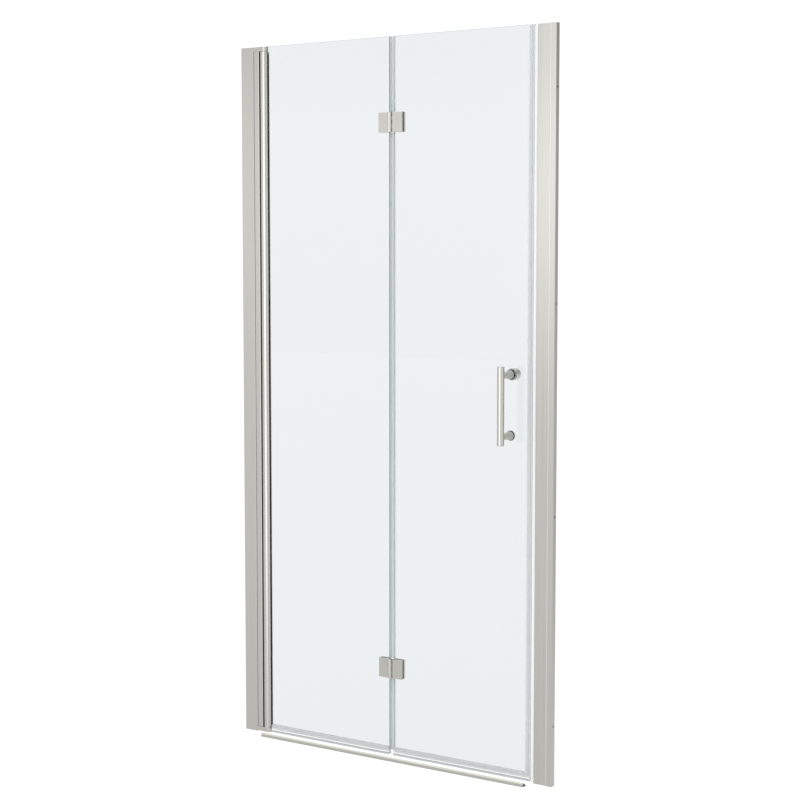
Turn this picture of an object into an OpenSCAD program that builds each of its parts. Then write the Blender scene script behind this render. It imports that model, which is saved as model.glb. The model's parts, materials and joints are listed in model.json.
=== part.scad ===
// Bifold shower door: two frameless glass leaves between two wall profiles.
// The left leaf turns on a pivot post; the right leaf folds on two outside hinges.
// Origin: foot of the left wall face, on the tray, in the middle plane of the glass.
// +X runs along the closed door to the right wall, +Y into the shower, +Z up.

/* [Opening] */
// Distance between the two walls
opening_w = 960; // [900:1:1000]
// Height of the wall profiles and of the glass above the tray
door_h = 1850; // [1700:10:2000]
// Free space between the pivot bracket and the tray
bracket_floor_gap = 2; // [1:0.5:4]
// Free space between the glass and the tray
glass_floor_gap = 16.3; // [14:0.1:19]

/* [Wall profiles] */
// Depth of both wall profiles, from outside to inside
profile_depth = 15; // [14:0.5:18]
// Wall thickness of the wall channels
channel_wall = 1.5; // [1:0.1:1.8]
// Wall thickness of the adjusting profiles
adjuster_wall = 1.4; // [1:0.1:1.6]
// Reach of the left channel from its wall
left_channel_w = 41; // [38:1:44]
// Reach of the right channel from its wall
right_channel_w = 18; // [16:1:24]
// Space between the left wall and the back of the left adjusting profile
left_tuck = 12; // [8:1:16]
// Space between the right wall and the back of the right adjusting profile
right_tuck = 8; // [4:0.5:9]
// Inner face of the left adjusting profile, from the left wall
left_adjuster_edge = 58; // [56:0.5:62]
// Inner face of the right adjusting profile, from the right wall
right_adjuster_edge = 52; // [50:0.5:60]
// Clearance between nested profiles
slip_gap = 0.3; // [0.2:0.05:0.4]
// Radius of the holes for the wall screws
wall_hole_r = 2.5; // [2:0.1:3]
// Number of wall screws in each channel
wall_screw_count = 4; // [2:1:4]
// Distance of the outer wall screws from the profile's ends
wall_screw_margin = 150; // [120:10:200]
// Thickness of the end caps' plates
end_cap_t = 3; // [2:0.5:4]
// Depth to which the end caps plug the profiles
end_plug = 8; // [5:1:12]

/* [Profile screws] */
// Shank radius of the adjusting screws
adjust_screw_r = 2.1; // [1.6:0.1:2.4]
// Length of the adjusting screws under the head
adjust_screw_l = 9; // [7:0.5:9.5]
// Head radius of the adjusting screws
adjust_head_r = 3.6; // [3:0.1:4]
// Head height of the adjusting screws
adjust_head_h = 1.6; // [1.2:0.1:1.8]
// Outer radius of the cover caps over the screw heads
cover_r = 5.5; // [5:0.1:6]
// Height of the cover caps
cover_h = 3.2; // [2.8:0.1:4]
// Wall thickness of the cover caps
cover_wall = 0.8; // [0.6:0.1:1]
// Place of the left screws from the left wall
left_screw_inset = 30; // [24:1:34]
// Place of the right screws from the right wall
right_screw_inset = 13; // [12:0.5:14]

/* [Grooved inner faces] */
// Depth of the seal groove in the adjusting profiles
groove_depth = 2.6; // [2:0.1:3]
// Width of the seal groove
groove_w = 6.8; // [6:0.1:7.2]
// Width of the groove's mouth
groove_mouth = 3.2; // [2.6:0.1:3.8]
// Clearance of the seals' feet in the groove
seal_fit = 0.1; // [0.05:0.01:0.15]
// Width of the wiper seal's face
wiper_w = 10; // [4:0.5:11]
// Width of the frame magnet strip that shows beside the profile
magnet_face_w = 8; // [6:0.5:10]
// Thickness of the frame magnet strip, from outside to inside
magnet_strip_t = 10; // [8:0.5:11]
// Space left above and below the frame magnet strip
magnet_strip_end = 3; // [3:0.5:6]
// Space between the frame magnet and the closed door
magnet_gap = 0.8; // [0.6:0.05:0.95]

/* [Pivot brackets] */
// Height of the bracket heads
bracket_h = 12; // [10:0.5:14]
// Radius of the round end over the pivot
bracket_r = 9.5; // [9:0.1:10]
// Length of the spigots inside the adjusting profile
spigot_l = 26; // [20:1:40]
// Clearance of the spigots and plugs
plug_gap = 0.15; // [0.1:0.01:0.2]
// Distance of the bracket screws from the adjusting profile's inner face
bracket_screw_inset = 12; // [10:0.5:14]
// Shank radius of the bracket screws
bracket_screw_r = 2; // [1.6:0.1:2.4]
// Radius of the pivot pins
pin_r = 3; // [2.5:0.1:3.5]
// Running clearance of the pins in their bearings
pin_running = 0.05; // [0.02:0.01:0.08]
// Clearance of a pin where it is fixed
pin_fixed = 0.02; // [0.01:0.01:0.03]
// How far the fixed end of a pivot pin stops short of the bracket's outer face
pin_recess = 1; // [0.5:0.5:3]
// Thickness of the thrust washers
washer_t = 0.8; // [0.6:0.1:1.2]
// Outer radius of the thrust washers
washer_r = 7.5; // [6:0.5:9]
// Free play between washer and bearing cap
end_play = 0.2; // [0.1:0.05:0.3]

/* [Pivot post] */
// Distance of the pivot axis from the adjusting profile's inner face
pivot_offset = 16.5; // [15:0.1:18]
// Radius of the post
post_r = 12.7; // [12.4:0.1:13]
// Distance from the pivot axis to the post's flat glass side
post_reach = 11; // [10:0.1:11.2]
// Radius of the core bore
post_core_r = 4.6; // [4.2:0.1:4.8]
// Distance from the pivot axis to the bottom of the glass slot
post_slot_x = 5.5; // [5.4:0.1:6]
// Thickness of the top bearing cap
top_cap_t = 7; // [5:0.5:9]
// Thickness of the bottom bearing cap
bottom_cap_t = 5; // [4:0.5:5.5]
// Depth of the bearing caps' plugs in the core bore
cap_plug_l = 14; // [10:1:20]
// Thickness of the gasket round the glass edge
post_gasket_t = 1.5; // [1:0.1:1.7]
// How far that gasket shows beyond the post
post_gasket_show = 0.5; // [0.3:0.1:1.5]
// Space between the brackets' round ends and the notched glass corners
notch_gap = 0.8; // [0.5:0.1:1.5]

/* [Glass] */
// Thickness of the glass
glass_t = 6; // [5:1:6]
// Distance from the fold axis to each glass edge
fold_edge = 7; // [6.8:0.1:9]
// Distance from the left wall to the fold axis
fold_x = 483; // [460:1:500]

/* [Fold hinges] */
// Height of each hinge
hinge_h = 50; // [45:1:60]
// Distance from the profile's ends to the middle of each hinge, at the top
hinge_from_top = 215; // [150:1:300]
// Height of the lower hinge's middle above the tray
hinge_from_floor = 233; // [150:1:300]
// Distance of the fold axis in front of the glass's middle plane
fold_out = 10.6; // [10.6:0.1:11.4]
// Radius of the hinge barrels
barrel_r = 6; // [5.5:0.1:6.3]
// Number of knuckles in each barrel
knuckle_count = 5; // [5:2:7]
// Space between neighbouring knuckles
knuckle_gap = 0.2; // [0.1:0.05:0.3]
// Radius of the hinge pins
hinge_pin_r = 3; // [2.5:0.1:3.3]
// Distance from the fold axis to the far edge of the hinge plates
plate_reach = 35.6; // [34:0.1:40]
// Thickness of the outside hinge plates
plate_t = 6.3; // [6:0.1:6.5]
// Rounding of the outside plates' far edges
plate_round = 1.5; // [0.8:0.1:2.5]
// Distance from the fold axis to the start of the outside plates
plate_inset = 2; // [1.5:0.1:2.5]
// Play between a knuckle and the opposite plate
knuckle_room = 0.3; // [0.2:0.05:0.5]
// Thickness of the gaskets between hinge plates and glass
hinge_gasket_t = 1; // [0.8:0.1:1.2]
// Thickness of the inside clamp plates
back_plate_t = 5; // [4.5:0.1:6]
// Distance of the clamp screws from the fold axis
clamp_x = 22; // [20:0.5:26]
// Distance of the clamp screws above and below the hinge's middle
clamp_z = 12; // [10:0.5:16]
// Shank radius of the clamp screws
clamp_r = 2.5; // [2:0.1:2.8]
// Head radius of the clamp screws
clamp_head_r = 4.4; // [4:0.1:4.8]
// Head height of the clamp screws
clamp_head_h = 2.8; // [2.4:0.1:3]
// Depth of the clamp screws in the outside plates
clamp_bite = 4.2; // [3:0.1:5]
// Radius of the holes in the glass at the hinges
hinge_hole_r = 5; // [4.5:0.1:6]

/* [Seals] */
// Thickness of the clear seals' legs
seal_leg_t = 1.1; // [0.8:0.1:1.2]
// Height of the bottom seals' legs on the glass
bottom_leg_h = 8.3; // [6:0.1:15]
// Thickness of the bottom seals' webs under the glass
bottom_web_t = 1.6; // [1:0.1:2]
// Thickness of the wiping fins
fin_t = 1; // [0.8:0.1:1.3]
// Space between the fins and the tray
fin_floor_gap = 3; // [2:0.5:5]
// How far the inner fin leans into the shower
fin_lean = 3; // [1:0.5:4]
// Space between the bottom seals' ends and their neighbours
seal_end_gap = 0.5; // [0.3:0.1:0.7]
// Length of the centre seal's outside leg on the glass
centre_leg = 5; // [4:0.5:7]
// Length of the centre seal's inside leg on the glass
centre_back_leg = 2; // [1.5:0.5:4]
// Width of the centre seal's box
centre_box_w = 3.6; // [3:0.1:5]
// Outer radius of the centre seal's bulb
centre_bulb_r = 3.7; // [3.4:0.1:3.8]
// Space between the bulb and the other leaf's edge
bulb_gap = 0.3; // [0.2:0.05:0.4]
// Length of the magnet seal's legs on the glass
magnet_leg = 10.5; // [8:0.5:16]
// Width of the magnet seal's box beyond the glass
magnet_box_w = 6.2; // [5.5:0.1:8]
// Space above and below a hinge where the centre seal is cut away
hinge_notch = 1; // [0.5:0.5:3]

/* [Handle] */
// Distance of the handle's middle from the door's free edge
handle_inset = 62.7; // [50:0.1:80]
// Height of the handle's middle above the tray
handle_z = 934; // [850:1:1050]
// Length of the handle bar
handle_l = 193; // [180:1:300]
// Radius of the handle bar
handle_r = 9; // [8:0.5:10]
// Distance of each handle post from its end of the bar
handle_post_inset = 21.5; // [14:0.5:40]
// Distance from the glass's middle plane to the bar's middle
handle_out = 50.6; // [46:0.1:56]
// Rounding of the bar's ends
handle_round = 1.5; // [1:0.1:3]
// Radius of the posts' necks
neck_r = 8.4; // [7:0.1:8.8]
// Radius of the posts' feet
foot_r = 11.4; // [11:0.1:13]
// Length of the foot's straight rim
foot_rim = 5.5; // [3:0.5:6]
// Length of the flare between neck and foot
foot_flare = 17; // [10:0.5:18]
// Thickness of the gaskets under the posts' feet
foot_gasket_t = 3; // [1:0.1:3.5]
// How far that gasket stands out past the foot
foot_gasket_show = 1; // [0.3:0.1:1.2]
// Radius of the holes in the glass at the handle
handle_hole_r = 7; // [6:0.5:9]
// Clearance of the bushes in the glass holes
bush_gap = 0.3; // [0.2:0.1:0.5]
// Radius of the handle studs
stud_r = 4; // [3:0.1:4.5]
// Clearance of threaded joints
thread_gap = 0.02; // [0.01:0.01:0.04]
// Clearance of screws and studs in through holes
through_gap = 0.2; // [0.1:0.05:0.3]
// Depth of the studs in posts and knob
stud_bite = 9; // [6:0.5:10]
// Radius of the inside knob
knob_r = 15; // [14:0.5:18]
// Length of the inside knob
knob_l = 20; // [11:0.5:25]
// Rounding of the inside knob's rim
knob_round = 2; // [1:0.5:4]
// Thickness of the gasket behind the glass
back_gasket_t = 1; // [0.6:0.1:1.5]
// Radius of the back cap
back_cap_r = 8; // [6:0.5:11]
// Thickness of the back cap
back_cap_t = 2.6; // [2:0.1:4]
// Depth of the lower stud in the back cap
back_cap_bite = 1.6; // [1:0.1:1.8]

/* [Threshold bar] */
// Left end of the bar, from the left wall
threshold_left = 85; // [60:1:100]
// Right end of the bar, from the right wall
threshold_right = 57; // [40:1:80]
// Distance of the bar's front face from the glass's middle plane
threshold_out = 48; // [35:1:70]
// Depth of the bar
threshold_d = 16.5; // [14:0.5:20]
// Height of the bar's front face
threshold_front_h = 7.2; // [5:0.1:8]
// Height of the bar's ridge
threshold_ridge_h = 10.2; // [9:0.1:12]
// Distance of the ridge from the front face
threshold_ridge_d = 4; // [3:0.5:6]
// Height of the bar's inner edge
threshold_edge_h = 1.6; // [1.5:0.1:2]
// Wall thickness of the bar
threshold_wall = 1.2; // [1:0.1:1.5]

/* [Hidden] */
$fn = 64;
through = 1;                       // how far a cutter runs past what it cuts
brushed = "#b9b8b3";
polished = "#d6d5d0";
nylon = "#b2b1ac";
black_rubber = "#2b2c2b";
clear_pvc = "#d5dadd";
white_pvc = "#eef0ef";
glass_tint = "#dfeaec";
zinc = "#a8a9a9";

// Wall profiles
channel_half = profile_depth / 2;
adjuster_half = channel_half - channel_wall - slip_gap;
left_edge = left_adjuster_edge;
right_edge = opening_w - right_adjuster_edge;
groove_stack = adjuster_wall * 2 + groove_depth;
wall_screw_pitch = (door_h - 2 * wall_screw_margin) / (wall_screw_count - 1);
wall_screw_zs = [for (i = [0 : wall_screw_count - 1]) wall_screw_margin + i * wall_screw_pitch];

// Heights of the pivot stack
bracket_low_z = bracket_floor_gap + bracket_h;
bracket_high_z = door_h - bracket_h;
post_foot_z = bracket_low_z + washer_t + end_play + bottom_cap_t;
post_head_z = bracket_high_z - washer_t - end_play - top_cap_t;

// Plan of the leaves
pivot_x = left_edge + pivot_offset;
post_edge_x = pivot_x + post_reach;
post_gasket_x = post_edge_x + post_gasket_show;
slot_x = pivot_x + post_slot_x;
left_glass_x0 = slot_x + post_gasket_t;
notch_x = pivot_x + bracket_r + notch_gap;
left_glass_x1 = fold_x - fold_edge;
right_glass_x0 = fold_x + fold_edge;
frame_magnet_x = right_edge - magnet_face_w;
door_edge_x = frame_magnet_x - magnet_gap;
right_glass_x1 = door_edge_x - magnet_box_w;
glass_half = glass_t / 2;
seal_half = glass_half + seal_leg_t;

// Fold hinges, in their own frame: axis at x = 0, y = 0, plates towards +x
upper_hinge_z = door_h - hinge_from_top;
lower_hinge_z = hinge_from_floor;
hinge_zs = [upper_hinge_z, lower_hinge_z];
knuckle_h = hinge_h / knuckle_count;
plate_back_y = fold_out - glass_half - hinge_gasket_t;
plate_front_y = plate_back_y - plate_t;
knuckle_room_r = norm([plate_inset, plate_back_y]) + knuckle_room;
back_plate_x = fold_edge + 1;
back_plate_y = fold_out + glass_half + hinge_gasket_t;
clamp_zs = [-clamp_z, clamp_z];

// Bottom seals
leg_top_z = glass_floor_gap + bottom_leg_h;
web_z = glass_floor_gap - bottom_web_t;

// Centre seal
bulb_x = left_glass_x1 + bulb_gap + centre_bulb_r;
centre_box_x = right_glass_x0 - centre_box_w;

// Handle
handle_pitch = handle_l - 2 * handle_post_inset;
handle_x = door_edge_x - handle_inset;
handle_zs = [handle_z + handle_pitch / 2, handle_z - handle_pitch / 2];
foot_y = -glass_half - foot_gasket_t;
back_face_y = glass_half + back_gasket_t;
bush_r = handle_hole_r - bush_gap;

// ---- Shared shapes ----

// A flat strip in plan, centred on y = 0.
module strip(x0, x1, half) {
    translate([x0, -half]) square([x1 - x0, 2 * half]);
}

// A plan shape raised between two heights.
module raised(z0, z1) {
    translate([0, 0, z0]) linear_extrude(z1 - z0) children();
}

// A round bar along +Y, from y0 to y1.
module rod_y(r, y0, y1) {
    translate([0, y0, 0]) rotate([-90, 0, 0]) cylinder(r = r, h = y1 - y0);
}

// A turned shape whose outline [radius, length] starts at the origin and runs along +Y.
module turned_y(outline) {
    rotate([-90, 0, 0]) rotate_extrude() polygon(outline);
}

// Points of a quarter arc from angle a0 to a1 round a centre.
function arc(cx, cy, r, a0, a1, n = 8) =
    [for (i = [0 : n]) let (a = a0 + (a1 - a0) * i / n) [cx + r * cos(a), cy + r * sin(a)]];

// Places a shape drawn from the left wall against the right wall instead.
module at_right_wall() {
    translate([opening_w, 0, 0]) mirror([1, 0, 0]) children();
}

// Places a hinge shape, drawn towards +x, on the right or the left leaf.
module at_hinge(z, left = false) {
    translate([fold_x, -fold_out, z]) mirror([left ? 1 : 0, 0, 0]) children();
}

// ---- Wall profiles ----

// U-shaped channel on the wall at x = 0, with holes for wall and adjusting screws.
module wall_channel(reach, screw_inset) {
    inner_half = channel_half - channel_wall;
    difference() {
        raised(0, door_h) difference() {
            strip(0, reach, channel_half);
            strip(channel_wall, reach + through, inner_half);
        }
        for (z = wall_screw_zs) {
            translate([-through, 0, z]) rotate([0, 90, 0])
                cylinder(r = wall_hole_r, h = channel_wall + 2 * through);
            translate([screw_inset, 0, z])
                rod_y(adjust_screw_r + through_gap, 0, channel_half + through);
        }
    }
}

// Hollow profile from its back at x = tuck to its grooved inner face at x = edge.
module adjuster(tuck, edge, screw_inset, z0, z1) {
    groove_x = edge - adjuster_wall;
    difference() {
        raised(z0, z1) difference() {
            strip(tuck, edge, adjuster_half);
            strip(tuck + adjuster_wall, edge - groove_stack, adjuster_half - adjuster_wall);
            strip(groove_x - groove_depth, groove_x, groove_w / 2);
            strip(groove_x - adjuster_wall / 2, edge + through, groove_mouth / 2);
        }
        for (z = wall_screw_zs)
            translate([screw_inset, 0, z])
                rod_y(adjust_screw_r + thread_gap, 0, adjuster_half + through);
    }
}

// Foot and neck of a seal that is pushed into the groove of an adjusting profile.
module groove_foot(edge) {
    groove_x = edge - adjuster_wall;
    strip(groove_x - groove_depth + seal_fit, groove_x - seal_fit, groove_w / 2 - seal_fit);
    strip(groove_x - 2 * seal_fit, edge + seal_fit, groove_mouth / 2 - seal_fit);
}

// Pan-head screws that lock the adjusting profile, driven from inside the shower.
module adjusting_screws(screw_inset) {
    for (z = wall_screw_zs)
        translate([screw_inset, 0, z]) {
            rod_y(adjust_screw_r, channel_half - adjust_screw_l, channel_half + adjust_head_h / 2);
            rod_y(adjust_head_r, channel_half, channel_half + adjust_head_h);
        }
}

// Snap-on covers over the adjusting screws' heads.
module cover_caps(screw_inset) {
    for (z = wall_screw_zs)
        translate([screw_inset, channel_half, z]) difference() {
            turned_y(concat([[0, 0]], [[cover_r, 0]],
                arc(cover_r - 1, cover_h - 1, 1, 0, 90), [[0, cover_h]]));
            rod_y(cover_r - cover_wall, -through, cover_h - cover_wall);
        }
}

// Plug that closes a hollow adjusting profile, with its plate at z0 and its plug at z1.
module adjuster_cap(tuck, edge, plate_z, plug_z) {
    raised(plate_z, plate_z + end_cap_t) strip(tuck, edge, adjuster_half);
    raised(plug_z, plug_z + end_plug)
        strip(tuck + adjuster_wall + plug_gap, edge - groove_stack - plug_gap,
            adjuster_half - adjuster_wall - plug_gap);
}

module left_wall_profile() {
    color(brushed) wall_channel(left_channel_w, left_screw_inset);
}

module left_adjusting_profile() {
    bracket_screw_z = spigot_l / 2;
    color(brushed) difference() {
        adjuster(left_tuck, left_edge, left_screw_inset, bracket_low_z, bracket_high_z);
        for (z = [bracket_low_z + bracket_screw_z, bracket_high_z - bracket_screw_z])
            translate([left_edge - bracket_screw_inset, 0, z])
                rod_y(bracket_screw_r + through_gap, 0, adjuster_half + through);
    }
}

module left_profile_screws() {
    color(zinc) adjusting_screws(left_screw_inset);
}

module left_screw_caps() {
    color(polished) cover_caps(left_screw_inset);
}

module left_top_cap() {
    cap_x0 = channel_wall;
    cap_x1 = left_tuck - slip_gap;
    color(brushed) {
        raised(door_h - end_cap_t, door_h) strip(cap_x0, cap_x1, channel_half - channel_wall);
        raised(door_h - end_cap_t - end_plug, door_h - end_cap_t)
            strip(cap_x0, cap_x1, adjuster_half);
    }
}

module post_wiper_seal() {
    color(black_rubber) raised(bracket_low_z, bracket_high_z) {
        groove_foot(left_edge);
        strip(left_edge, pivot_x - post_r - slip_gap, wiper_w / 2);
    }
}

module right_wall_profile() {
    color(brushed) at_right_wall() wall_channel(right_channel_w, right_screw_inset);
}

module right_adjusting_profile() {
    color(brushed) at_right_wall()
        adjuster(right_tuck, right_adjuster_edge, right_screw_inset, end_cap_t, door_h - end_cap_t);
}

module right_profile_screws() {
    color(zinc) at_right_wall() adjusting_screws(right_screw_inset);
}

module right_screw_caps() {
    color(polished) at_right_wall() cover_caps(right_screw_inset);
}

module right_top_cap() {
    color(brushed) at_right_wall()
        adjuster_cap(right_tuck, right_adjuster_edge, door_h - end_cap_t,
            door_h - end_cap_t - end_plug);
}

module right_bottom_cap() {
    color(brushed) at_right_wall()
        adjuster_cap(right_tuck, right_adjuster_edge, 0, end_cap_t);
}

module frame_magnet_strip() {
    color(white_pvc) at_right_wall() raised(magnet_strip_end, door_h - magnet_strip_end) {
        groove_foot(right_adjuster_edge);
        strip(right_adjuster_edge, right_adjuster_edge + magnet_face_w, magnet_strip_t / 2);
    }
}

// Bar glued to the tray in front of the door; hollow, with open ends.
module threshold_bar() {
    back = threshold_d;
    fall = (threshold_ridge_h - threshold_edge_h) / (back - threshold_ridge_d);
    roof_drop = threshold_wall * sqrt(1 + fall * fall);
    inner_ridge_h = threshold_ridge_h - roof_drop;
    inner_back = threshold_ridge_d + (inner_ridge_h - threshold_wall) / fall;
    color(polished)
        translate([threshold_left, -threshold_out, 0]) rotate([90, 0, 90])
            linear_extrude(opening_w - threshold_left - threshold_right) difference() {
                polygon([[0, 0], [0, threshold_front_h], [threshold_ridge_d, threshold_ridge_h],
                    [back, threshold_edge_h], [back, 0]]);
                polygon([[threshold_wall, threshold_wall],
                    [threshold_wall, threshold_front_h - threshold_wall],
                    [threshold_ridge_d, inner_ridge_h], [inner_back, threshold_wall]]);
            }
}

// ---- Pivot ----

// Plan of a bracket head: tongue in the channel, arm over the profile, round end.
module bracket_plan() {
    arm_x = left_channel_w + slip_gap;
    corner = [pivot_x - arm_x, channel_half];
    tangent_a = 180 - atan2(corner.y, corner.x) - acos(bracket_r / norm(corner));
    tangent_x = pivot_x + bracket_r * cos(tangent_a);
    tangent_y = bracket_r * sin(tangent_a);
    strip(left_tuck, arm_x + through, adjuster_half);
    polygon([[arm_x, -channel_half], [arm_x, channel_half],
        [tangent_x, tangent_y], [tangent_x, -tangent_y]]);
    translate([pivot_x, 0]) circle(r = bracket_r);
}

// Block of a bracket inside the adjusting profile.
module spigot(z0) {
    raised(z0, z0 + spigot_l)
        strip(left_tuck + adjuster_wall + plug_gap, left_edge - groove_stack - plug_gap,
            adjuster_half - adjuster_wall - plug_gap);
}

// Bracket between two heights, with its spigot starting at spigot_z.
module pivot_bracket(z0, spigot_z) {
    difference() {
        union() {
            raised(z0, z0 + bracket_h) bracket_plan();
            spigot(spigot_z);
        }
        translate([pivot_x, 0, z0 - through])
            cylinder(r = pin_r + pin_fixed, h = bracket_h + 2 * through);
        translate([left_edge - bracket_screw_inset, 0, spigot_z + spigot_l / 2])
            rod_y(bracket_screw_r + thread_gap, 0, adjuster_half);
    }
}

module top_pivot_bracket() {
    color(zinc) pivot_bracket(bracket_high_z, bracket_high_z - spigot_l);
}

module bottom_pivot_bracket() {
    color(zinc) pivot_bracket(bracket_floor_gap, bracket_low_z);
}

module bracket_screws() {
    color(zinc) for (z = [bracket_low_z + spigot_l / 2, bracket_high_z - spigot_l / 2])
        translate([left_edge - bracket_screw_inset, 0, z]) {
            rod_y(bracket_screw_r, 0, adjuster_half + adjust_head_h / 2);
            rod_y(adjust_head_r, adjuster_half, adjuster_half + adjust_head_h);
        }
}

module top_pivot_pin() {
    pin_tip = post_head_z - cap_plug_l;
    color(polished) translate([pivot_x, 0, pin_tip])
        cylinder(r = pin_r, h = door_h - pin_recess - pin_tip);
}

module bottom_pivot_pin() {
    pin_foot = bracket_floor_gap + pin_recess;
    color(polished) translate([pivot_x, 0, pin_foot])
        cylinder(r = pin_r, h = post_foot_z + cap_plug_l - pin_foot);
}

module pivot_washers() {
    color(polished) for (z = [bracket_low_z, bracket_high_z - washer_t])
        translate([pivot_x, 0, z]) difference() {
            cylinder(r = washer_r, h = washer_t);
            translate([0, 0, -through])
                cylinder(r = pin_r + through_gap, h = washer_t + 2 * through);
        }
}

// Round plan of the pivot post, cut off at a distance towards the glass.
module post_plan(reach) {
    intersection() {
        translate([pivot_x, 0]) circle(r = post_r);
        strip(pivot_x - post_r - through, pivot_x + reach, post_r + through);
    }
}

module pivot_post() {
    slot_half = glass_half + post_gasket_t;
    color(brushed) raised(post_foot_z, post_head_z) difference() {
        post_plan(post_reach);
        translate([pivot_x, 0]) circle(r = post_core_r);
        strip(slot_x, post_edge_x + through, slot_half);
    }
}

// Bearing cap: a plate of the post's outline at plate_z and a plug in its core.
module bearing_cap(plate_z, plate_t, plug_z) {
    low = min(plate_z, plug_z) - through;
    high = max(plate_z + plate_t, plug_z + cap_plug_l) + through;
    difference() {
        union() {
            raised(plate_z, plate_z + plate_t) post_plan(bracket_r);
            translate([pivot_x, 0, plug_z]) cylinder(r = post_core_r - pin_fixed, h = cap_plug_l);
        }
        translate([pivot_x, 0, low]) cylinder(r = pin_r + pin_running, h = high - low);
    }
}

module post_top_cap() {
    color(nylon) bearing_cap(post_head_z, top_cap_t, post_head_z - cap_plug_l);
}

module post_bottom_cap() {
    color(nylon) bearing_cap(post_foot_z - bottom_cap_t, bottom_cap_t, post_foot_z);
}

module post_gasket() {
    color(black_rubber) raised(post_foot_z, post_head_z) difference() {
        strip(slot_x, post_gasket_x, glass_half + post_gasket_t);
        strip(left_glass_x0, post_gasket_x + through, glass_half);
    }
}

// ---- Glass ----

// A pane whose outline [x, z] stands in the middle plane.
module pane(outline) {
    rotate([90, 0, 0]) linear_extrude(glass_t, center = true) polygon(outline);
}

// Round holes through a pane.
module pane_holes(x, zs, r) {
    for (z = zs) translate([x, 0, z]) rod_y(r, -glass_t, glass_t);
}

// Heights of all clamp screws of the two hinges.
function clamp_heights() = [for (hz = hinge_zs) for (dz = clamp_zs) hz + dz];

module left_glass() {
    color(glass_tint) difference() {
        pane([[notch_x, glass_floor_gap], [left_glass_x1, glass_floor_gap],
            [left_glass_x1, door_h], [notch_x, door_h], [notch_x, post_head_z],
            [left_glass_x0, post_head_z], [left_glass_x0, post_foot_z], [notch_x, post_foot_z]]);
        pane_holes(fold_x - clamp_x, clamp_heights(), hinge_hole_r);
    }
}

module right_glass() {
    color(glass_tint) difference() {
        pane([[right_glass_x0, glass_floor_gap], [right_glass_x1, glass_floor_gap],
            [right_glass_x1, door_h], [right_glass_x0, door_h]]);
        pane_holes(fold_x + clamp_x, clamp_heights(), hinge_hole_r);
        pane_holes(handle_x, handle_zs, handle_hole_r);
    }
}

// ---- Seals ----

// Web and fins under a leaf, between x0 and x1, drawn as a section [y, z].
module seal_web(x0, x1) {
    translate([x0, 0, 0]) rotate([90, 0, 90]) linear_extrude(x1 - x0) {
        translate([-seal_half, web_z]) square([2 * seal_half, bottom_web_t]);
        translate([-seal_half, fin_floor_gap]) square([fin_t, web_z - fin_floor_gap + fin_t / 2]);
        polygon([[seal_half - fin_t, web_z + fin_t / 2], [seal_half, web_z + fin_t / 2],
            [seal_half + fin_lean, fin_floor_gap], [seal_half + fin_lean - fin_t, fin_floor_gap]]);
    }
}

// Legs of a bottom seal on both faces of the glass.
module seal_legs(x0, x1) {
    for (y = [-seal_half, glass_half])
        translate([x0, y, web_z]) cube([x1 - x0, seal_leg_t, leg_top_z - web_z]);
}

module left_bottom_seal() {
    x0 = post_gasket_x + seal_end_gap;
    x1 = left_glass_x1 - seal_end_gap;
    color(clear_pvc) {
        seal_web(x0, x1);
        seal_legs(x0, x1);
    }
}

module right_bottom_seal() {
    color(clear_pvc) {
        seal_web(centre_box_x + 2 * seal_end_gap, door_edge_x - 2 * seal_end_gap);
        seal_legs(right_glass_x0 + centre_leg + seal_end_gap,
            right_glass_x1 - magnet_leg - seal_end_gap);
    }
}

// Plan of the centre seal: legs on the right pane, hollow box, hollow bulb.
module centre_seal_plan() {
    difference() {
        strip(centre_box_x, right_glass_x0, seal_half);
        strip(centre_box_x + seal_leg_t, right_glass_x0 - seal_leg_t, glass_half);
    }
    translate([centre_box_x, -seal_half])
        square([centre_box_w + centre_leg, seal_leg_t]);
    translate([centre_box_x, glass_half])
        square([centre_box_w + centre_back_leg, seal_leg_t]);
    difference() {
        union() {
            translate([bulb_x, 0]) circle(r = centre_bulb_r);
            strip(bulb_x, centre_box_x + seal_leg_t / 2, seal_leg_t);
        }
        translate([bulb_x, 0]) circle(r = centre_bulb_r - seal_leg_t);
    }
}

module centre_seal() {
    cut = hinge_h / 2 + hinge_notch;
    color(clear_pvc) {
        raised(glass_floor_gap, lower_hinge_z - cut) centre_seal_plan();
        raised(lower_hinge_z + cut, upper_hinge_z - cut) centre_seal_plan();
        raised(upper_hinge_z + cut, door_h) centre_seal_plan();
    }
}

module door_magnet_seal() {
    color(clear_pvc) raised(glass_floor_gap, door_h) difference() {
        strip(right_glass_x1 - magnet_leg, door_edge_x, seal_half);
        strip(right_glass_x1 - magnet_leg - through, right_glass_x1, glass_half);
        strip(right_glass_x1 + seal_leg_t, door_edge_x - seal_leg_t, glass_half);
    }
}

module door_magnet() {
    color(white_pvc) raised(glass_floor_gap, door_h)
        strip(right_glass_x1 + seal_leg_t + seal_fit, door_edge_x - seal_leg_t - seal_fit,
            glass_half - seal_fit);
}

// ---- Fold hinges ----

// Height of the lower end of knuckle k, from the hinge's middle.
function knuckle_z(k) = k * knuckle_h - hinge_h / 2;

// Plan of an outside hinge plate, with its far front edge rounded.
module plate_plan() {
    r = plate_round;
    difference() {
        translate([plate_inset, plate_front_y]) square([plate_reach - plate_inset, plate_t]);
        translate([plate_reach - r, plate_front_y - r]) square([2 * r, 2 * r]);
    }
    translate([plate_reach - r, plate_front_y + r]) circle(r = r);
}

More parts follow.
